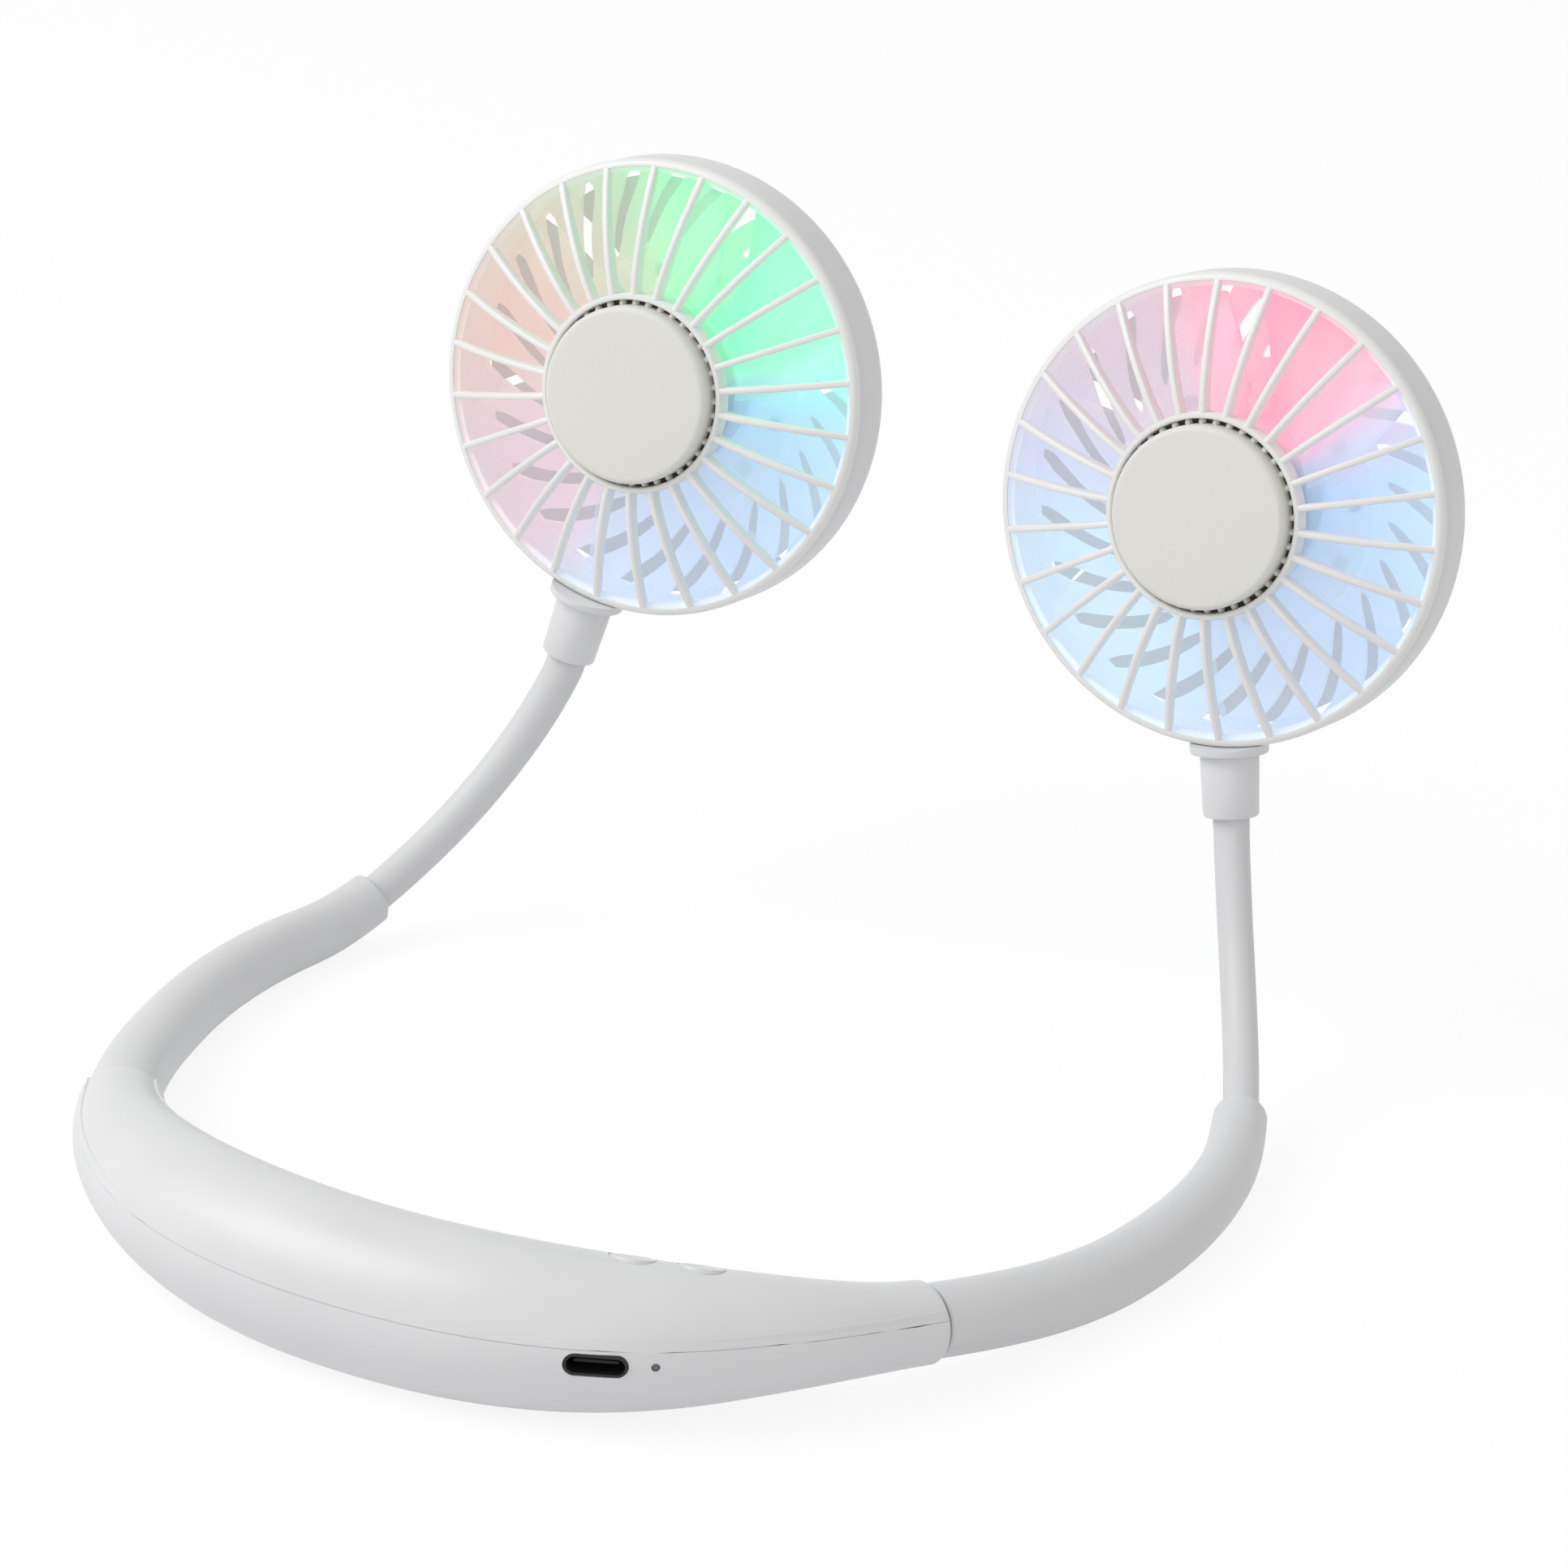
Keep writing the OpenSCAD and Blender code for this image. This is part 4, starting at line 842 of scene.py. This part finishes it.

# Its inner faces carry painted lamp light: a colour and a glow for each direction from the
# middle, standing in for the coloured lamps' light.


def by_direction(nodes, links, middle):
    """The direction from a head's middle, clockwise from its top, from 0 to 1."""
    place = nodes.new("ShaderNodeTexCoord")
    local = nodes.new("ShaderNodeMapping")
    back = middle.inverted()
    local.inputs["Location"].default_value = back.to_translation()
    local.inputs["Rotation"].default_value = back.to_euler()
    links.new(place.outputs["Object"], local.inputs["Vector"])
    parts = nodes.new("ShaderNodeSeparateXYZ")
    links.new(local.outputs["Vector"], parts.inputs["Vector"])
    angle = nodes.new("ShaderNodeMath")
    angle.operation = "ARCTAN2"
    links.new(parts.outputs["X"], angle.inputs[0])
    links.new(parts.outputs["Y"], angle.inputs[1])
    turn = nodes.new("ShaderNodeMath")
    turn.operation = "DIVIDE"
    links.new(angle.outputs[0], turn.inputs[0])
    turn.inputs[1].default_value = math.tau
    whole = nodes.new("ShaderNodeMath")
    whole.operation = "FRACT"
    links.new(turn.outputs[0], whole.inputs[0])
    return whole.outputs[0]


def ramp_wheel(nodes, links, direction, stops):
    """Colours by direction, in degrees."""
    ramp = nodes.new("ShaderNodeValToRGB")
    elements = ramp.color_ramp.elements
    while len(elements) > 1:
        elements.remove(elements[-1])
    elements[0].position = 0
    for k, (degrees, color) in enumerate(stops):
        element = elements[0] if k == 0 else elements.new(degrees / 360)
        element.color = (*color, 1)
    links.new(direction, ramp.inputs["Fac"])
    return ramp.outputs["Color"]


green = (0.42, 1.0, 0.68)
pale_green = (0.47, 0.96, 0.63)
aqua = (0.53, 0.88, 0.86)
sky = (0.6, 0.79, 0.95)
pale_sky = (0.66, 0.76, 0.9)
ice = (0.68, 0.83, 0.93)
rose = (0.8, 0.66, 0.72)
salmon = (0.84, 0.66, 0.61)
sand = (0.76, 0.7, 0.6)
moss = (0.64, 0.79, 0.62)
pink = (1.0, 0.52, 0.62)
orchid = (0.92, 0.58, 0.68)
lilac = (0.7, 0.74, 0.9)
mist = (0.76, 0.68, 0.74)
lamp_colors = {
    "left_": [
        (0, pale_green), (20, green), (52, green), (64, aqua), (84, sky), (135, pale_sky),
        (184, pale_sky), (200, rose), (235, rose), (258, salmon), (278, salmon), (298, sand),
        (322, moss), (344, pale_green), (360, pale_green),
    ],
    "right_": [
        (0, orchid), (10, pink), (36, pink), (50, orchid), (62, lilac), (82, sky),
        (150, pale_sky), (190, pale_sky), (215, ice), (262, ice), (285, lilac), (308, mist),
        (335, mist), (350, orchid), (360, orchid),
    ],
}
drum_painted_glow = 0.26
drum_pale, drum_pale_share = 0.85, 0.3


def lit_inside(name, middle, stops):
    """The drum's inner faces: white plastic with painted lamp light, a coloured glow by direction.
    """
    material, nodes, links, shader = new_material(name)
    pale = []
    for degrees, color in stops:
        pale.append((degrees, [mix(c, drum_pale, drum_pale_share) for c in color]))
    color = ramp_wheel(nodes, links, by_direction(nodes, links, middle), pale)
    links.new(color, shader.inputs["Base Color"])
    links.new(color, shader.inputs["Emission Color"])
    shader.inputs["Emission Strength"].default_value = drum_painted_glow
    shader.inputs["Roughness"].default_value = 0.4
    return material


flange = lathe("flange", [
    (0, 0), (5.9 * MM, 0), (6.3 * MM, 0.12 * MM), (6.5 * MM, 0.45 * MM),
    (6.5 * MM, 2.7 * MM), (0, 2.7 * MM),
], 72)
lying = Matrix.Rotation(math.radians(-90), 4, "X")
flange.data.transform(Matrix.Translation((0, -head_reach, -stem_back)) @ lying)
half_wall_r = opening_r + drum_wall / 2
cut_away(flange, lathe("drum_space", [
    (0, -drum_depth), (half_wall_r, -drum_depth), (half_wall_r, -rim_t - fit),
    (drum_r + 0.05 * MM, -rim_t - fit), (drum_r + 0.05 * MM, 8 * MM), (0, 8 * MM),
], 168))
pin = lathe("pin", [
    (0, 0), (1.9 * MM, 0), (2.2 * MM, 0.3 * MM), (2.2 * MM, 0.5 * MM), (1.7 * MM, 0.5 * MM),
    (1.7 * MM, 1.4 * MM), (2.2 * MM, 1.4 * MM), (2.2 * MM, 4.5 * MM), (0, 4.5 * MM),
], 48)
pin_len = 3.55 * MM
pin.data.transform(Matrix.Translation((0, -head_reach - pin_len, -stem_back)) @ lying)
tube = lathe("tube", [
    (3.02 * MM, -14.2 * MM), (4.2 * MM, -14.2 * MM), (4.2 * MM, -8.4 * MM), (3.02 * MM, -8.4 * MM),
    (3.02 * MM, -14.2 * MM),
], 48)
for piece in (drum, flange, pin, tube):
    smooth(piece, 38)
join_to(drum, [flange, pin, tube])
for side in ("left_", "right_"):
    middle = head_frame(side)
    shell = copy_to(drum, middle)
    shell.data.materials.clear()
    shell.data.materials.append(white_plastic)
    shell.data.materials.append(lit_inside(side + "lit_inside", middle, lamp_colors[side]))
    # The faces inside the drum, between its floor and the rim, get the painted lamp light.
    back = middle.inverted()
    for face in shell.data.polygons:
        spot = back @ face.center
        r = math.hypot(spot.x, spot.y)
        deep = -drum_depth + 0.3 * MM < spot.z < -rim_t - 0.1 * MM
        face.material_index = 1 if deep and r < opening_r + 0.05 * MM else 0
    dress(shell, side + "drum", side + "head", white_plastic, "body_plastic", side + "rear_shell")
    # The light board under it gets the same painted lamp light.
    refinish(side + "light_board", shell.data.materials[1])
bpy.data.objects.remove(drum)

# The fan wheel: a clear plastic hub with six broad twisted blades. Its colour is painted lamp
# light: a coloured glow by direction, as if the lamps behind it shone through.
blade_count = 6
blade_turn, blade_sweep, blade_span = 14, 14, 56
hub_r, hub_wall = 15.5 * MM, 1.5 * MM
fan_front, fan_back = -3.2 * MM, -12.05 * MM
blade_tip_r = opening_r - 2 * MM
blade_t, blade_rise, blade_foot = 1 * MM, 7.2 * MM, 0.8 * MM
fan_painted_glow = 0.31
# How opaque each fan is by direction: denser where its painted lamp light is strong.
clear_share = {
    "left_": [
        (0, 0.4), (16, 0.8), (60, 0.8), (72, 0.4), (130, 0.28), (300, 0.25), (340, 0.35),
        (360, 0.4),
    ],
    "right_": [
        (0, 0.6), (15, 0.75), (42, 0.8), (62, 0.4), (130, 0.28), (300, 0.25), (335, 0.35),
        (360, 0.6),
    ],
}
hub_in, hub_round = -4.6 * MM, 1 * MM
wheel = lathe("wheel", [(0, hub_in), (hub_r - hub_wall, hub_in), (hub_r - hub_wall, fan_back),
    (hub_r, fan_back), (hub_r, fan_front - hub_round)]
    + arc(hub_r - hub_round, fan_front - hub_round, hub_round, 15, 90, 5) + [(0, fan_front)], 96)
bpy.ops.object.select_all(action="DESELECT")
bpy.ops.mesh.primitive_grid_add(x_subdivisions=14, y_subdivisions=18, size=1)
blade = bpy.context.object
for point in blade.data.vertices:
    t, u = point.co.x + 0.5, point.co.y + 0.5
    r = mix(hub_r - hub_wall / 2, blade_tip_r, t)
    turn = math.radians(blade_turn + blade_sweep * t + blade_span * u)
    lift = blade_rise * (1 - ease(u) / 2 - u / 2)
    point.co = (r * math.cos(turn), r * math.sin(turn), fan_back + blade_foot + lift)
tidy_mesh(blade)
apply_modifier(blade, "SOLIDIFY", thickness=blade_t, offset=0, use_even_offset=True)
apply_modifier(
    blade, "BEVEL", width=0.3 * MM, segments=2, limit_method="ANGLE",
    angle_limit=math.radians(50),
)
raised = Matrix.Translation((0, 0, blade_t / 2))
blades = []
for k in range(blade_count):
    blades.append(copy_to(blade, raised @ Matrix.Rotation(math.tau * k / blade_count, 4, "Z")))
bpy.data.objects.remove(blade)
for piece in [wheel] + blades:
    smooth(piece, 40)
join_to(wheel, blades)


def clear_fan(name, middle, stops, shares):
    """Clear plastic with painted lamp light: a coloured glow by direction, denser where that light
    is strong.
    """
    material, nodes, links, shader = new_material(name)
    direction = by_direction(nodes, links, middle)
    color = ramp_wheel(nodes, links, direction, stops)
    links.new(color, shader.inputs["Base Color"])
    links.new(color, shader.inputs["Emission Color"])
    shader.inputs["Emission Strength"].default_value = fan_painted_glow
    greys = [(degrees, (share, share, share)) for degrees, share in shares]
    share = ramp_wheel(nodes, links, direction, greys)
    links.new(share, shader.inputs["Alpha"])
    shader.inputs["Roughness"].default_value = 0.45
    return material


for side in ("left_", "right_"):
    middle = head_frame(side)
    fan = copy_to(wheel, middle)
    fan.data.materials.clear()
    clear = clear_fan(side + "clear_fan", middle, lamp_colors[side], clear_share[side])
    fan.data.materials.append(clear)
    dress(fan, side + "fan_wheel", side + "fan", None, "fan_plastic", side + "impeller")
bpy.data.objects.remove(wheel)

lamp_clear = moulded("lamp_clear", (0.9, 0.93, 0.96, 1), 0.12, 0.02)
for side in ("left_", "right_"):
    refinish(side + "lamps", lamp_clear)

# The grilles: a rim with a thin front edge, a ring in the middle, and thin rounded ribs that
# rise from the rim to the ring as a shallow dome. One white moulding, clipped into the drum.
rib_count = 26
ring_r, ring_w, ring_h = 15.9 * MM, 1 * MM, 3 * MM
dome_h = 6.6 * MM
rib_w, rib_ring_h, rib_rim_h = 1.15 * MM, 3 * MM, 1.5 * MM
rib_sides, rib_steps = 16, 24
side_square, edge_square = 0.55, 0.4
rim_round = 1.2 * MM
grille_turn = {"left_": 10, "right_": 1.5}
grille_white = moulded("grille_white", (0.88, 0.88, 0.86, 1), 0.36, 0.08)


def dome_z(r):
    share = max(0, (r - ring_r - ring_w) / (opening_r - ring_r - ring_w))
    return dome_h * (1 - share ** 1.7)


rib_points = []
rib_rings = []
length = 0
for i in range(rib_steps + 1):
    t = i / rib_steps
    r = mix(ring_r + ring_w / 2, opening_r + drum_wall / 3, t)
    deep = mix(rib_ring_h, rib_rim_h, t)
    spot = Vector((r, 0, dome_z(r) - deep / 2))
    if rib_points:
        length += (spot - rib_points[-1]).length
    rib_points.append(spot)
    rib_rings.append((length, rib_w / 2, deep / 2))
rib = draw_tube("rib", rib_rings, rib_sides)
for point in rib.data.vertices:
    place, wide, tall = rib_rings[point.index // rib_sides]
    point.co.y = math.copysign(abs(point.co.y / wide) ** side_square, point.co.y) * wide
    point.co.z = math.copysign(abs(point.co.z / tall) ** edge_square, point.co.z) * tall
close_ends(rib)
rib_guide = route("rib_guide", rib_points)
bend_along(rib, rib_guide)
bpy.data.objects.remove(rib_guide)
tidy_mesh(rib)
smooth(rib, 60)
rim = lathe("rim", [
    (drum_r, -rim_t)] + arc(drum_r - rim_round, -rim_round, rim_round, 0, 90, 7)
    + [(opening_r, -0.15 * MM), (opening_r, -0.8 * MM), (opening_r - 0.8 * MM, -0.9 * MM),
    (opening_r - 0.8 * MM, -3.4 * MM), (opening_r - fit, -3.4 * MM),
    (opening_r - fit, -rim_t), (drum_r, -rim_t)], 168)
ring = lathe("ring", [
    (ring_r, dome_h - ring_h), (ring_r + ring_w, dome_h - ring_h),
    (ring_r + ring_w, dome_h - 0.3 * MM), (ring_r + ring_w - 0.25 * MM, dome_h),
    (ring_r + 0.25 * MM, dome_h), (ring_r, dome_h - 0.25 * MM), (ring_r, dome_h - ring_h),
], 120)
for side in ("left_", "right_"):
    parts = [copy_to(rim, Matrix()), copy_to(ring, Matrix())]
    for k in range(rib_count):
        turn = math.radians(90 - grille_turn[side]) + math.tau * k / rib_count
        parts.append(copy_to(rib, Matrix.Rotation(turn, 4, "Z")))
    smooth(parts[0], 40)
    smooth(parts[1], 40)
    join_to(parts[0], parts[1:])
    guard = parts[0].data
    guard.materials.append(grille_white)
    guard.materials.append(bpy.data.materials[side + "lit_inside"])
    # The rim's inner lip gets the painted lamp light of the drum.
    for face in guard.polygons:
        r = math.hypot(face.center.x, face.center.y)
        lip = opening_r - 1 * MM < r < opening_r + 0.05 * MM and face.center.z < -0.3 * MM
        face.material_index = 1 if lip else 0
    guard.transform(head_frame(side))
    dress(parts[0], side + "guard", side + "head", grille_white, "body_plastic", side + "grille")
for piece in (rib, rim, ring):
    bpy.data.objects.remove(piece)

# The caps: matt warm-white discs with a rounded edge, clipped into the grille's ring on a row
# of small teeth. Between the teeth a dark brown disc shows: painted shade in the gap.
cap_gap, cap_proud, cap_t, cap_edge, cap_wall = 0.9 * MM, 2.4 * MM, 4.2 * MM, 1 * MM, 1.2 * MM
cap_r = ring_r - cap_gap
cap_top = dome_h + cap_proud
cap_low = cap_top - cap_t
tooth_count = 40
cap_white = moulded("cap_white", (0.79, 0.785, 0.74, 1), 0.55, 0.3, 0.012)
gap_brown = moulded("gap_brown", (0.045, 0.025, 0.012, 1), 0.6, 0.1, 0.2)
cap = lathe("cap", [(0, cap_top - cap_wall), (cap_r - cap_wall, cap_top - cap_wall),
    (cap_r - cap_wall, cap_low), (cap_r, cap_low), (cap_r, cap_top - cap_edge)]
    + arc(cap_r - cap_edge, cap_top - cap_edge, cap_edge, 15, 90, 6)
    + [(7 * MM, cap_top), (0, cap_top)], 120)
smooth(cap, 30)
tooth = lathe("tooth", [
    (0, 0), (0.62 * MM, 0), (0.62 * MM, 0.7 * MM), (0.35 * MM, 1.1 * MM), (0, 1.2 * MM),
], 10)
tooth.data.transform(Matrix.Diagonal((1.1, 0.9, 1, 1)))
smooth(tooth, 40)
# A dark brown disc under the teeth, painted shade in the gap between cap and ring.
backing = lathe("backing", [
    (cap_r - 1 * MM, cap_low - 0.5 * MM), (ring_r - 0.06 * MM, cap_low - 0.5 * MM),
    (ring_r - 0.06 * MM, cap_low - 0.1 * MM), (cap_r - 1 * MM, cap_low - 0.1 * MM),
    (cap_r - 1 * MM, cap_low - 0.5 * MM),
], 96)
for side in ("left_", "right_"):
    disc = copy_to(cap, Matrix())
    tooth_place = Matrix.Translation((cap_r + 0.25 * MM, 0, cap_low - 0.1 * MM))
    teeth = []
    for k in range(tooth_count):
        turned = Matrix.Rotation(math.tau * k / tooth_count, 4, "Z")
        teeth.append(copy_to(tooth, turned @ tooth_place))
    dark = copy_to(backing, Matrix())
    disc.data.materials.append(cap_white)
    for piece in teeth:
        piece.data.materials.append(cap_white)
    dark.data.materials.append(gap_brown)
    join_to(disc, teeth + [dark])
    disc.data.transform(head_frame(side))
    dress(disc, side + "cap", side + "head", cap_white, "cap_plastic", side + "hub_cap")
for piece in (cap, tooth, backing):
    bpy.data.objects.remove(piece)
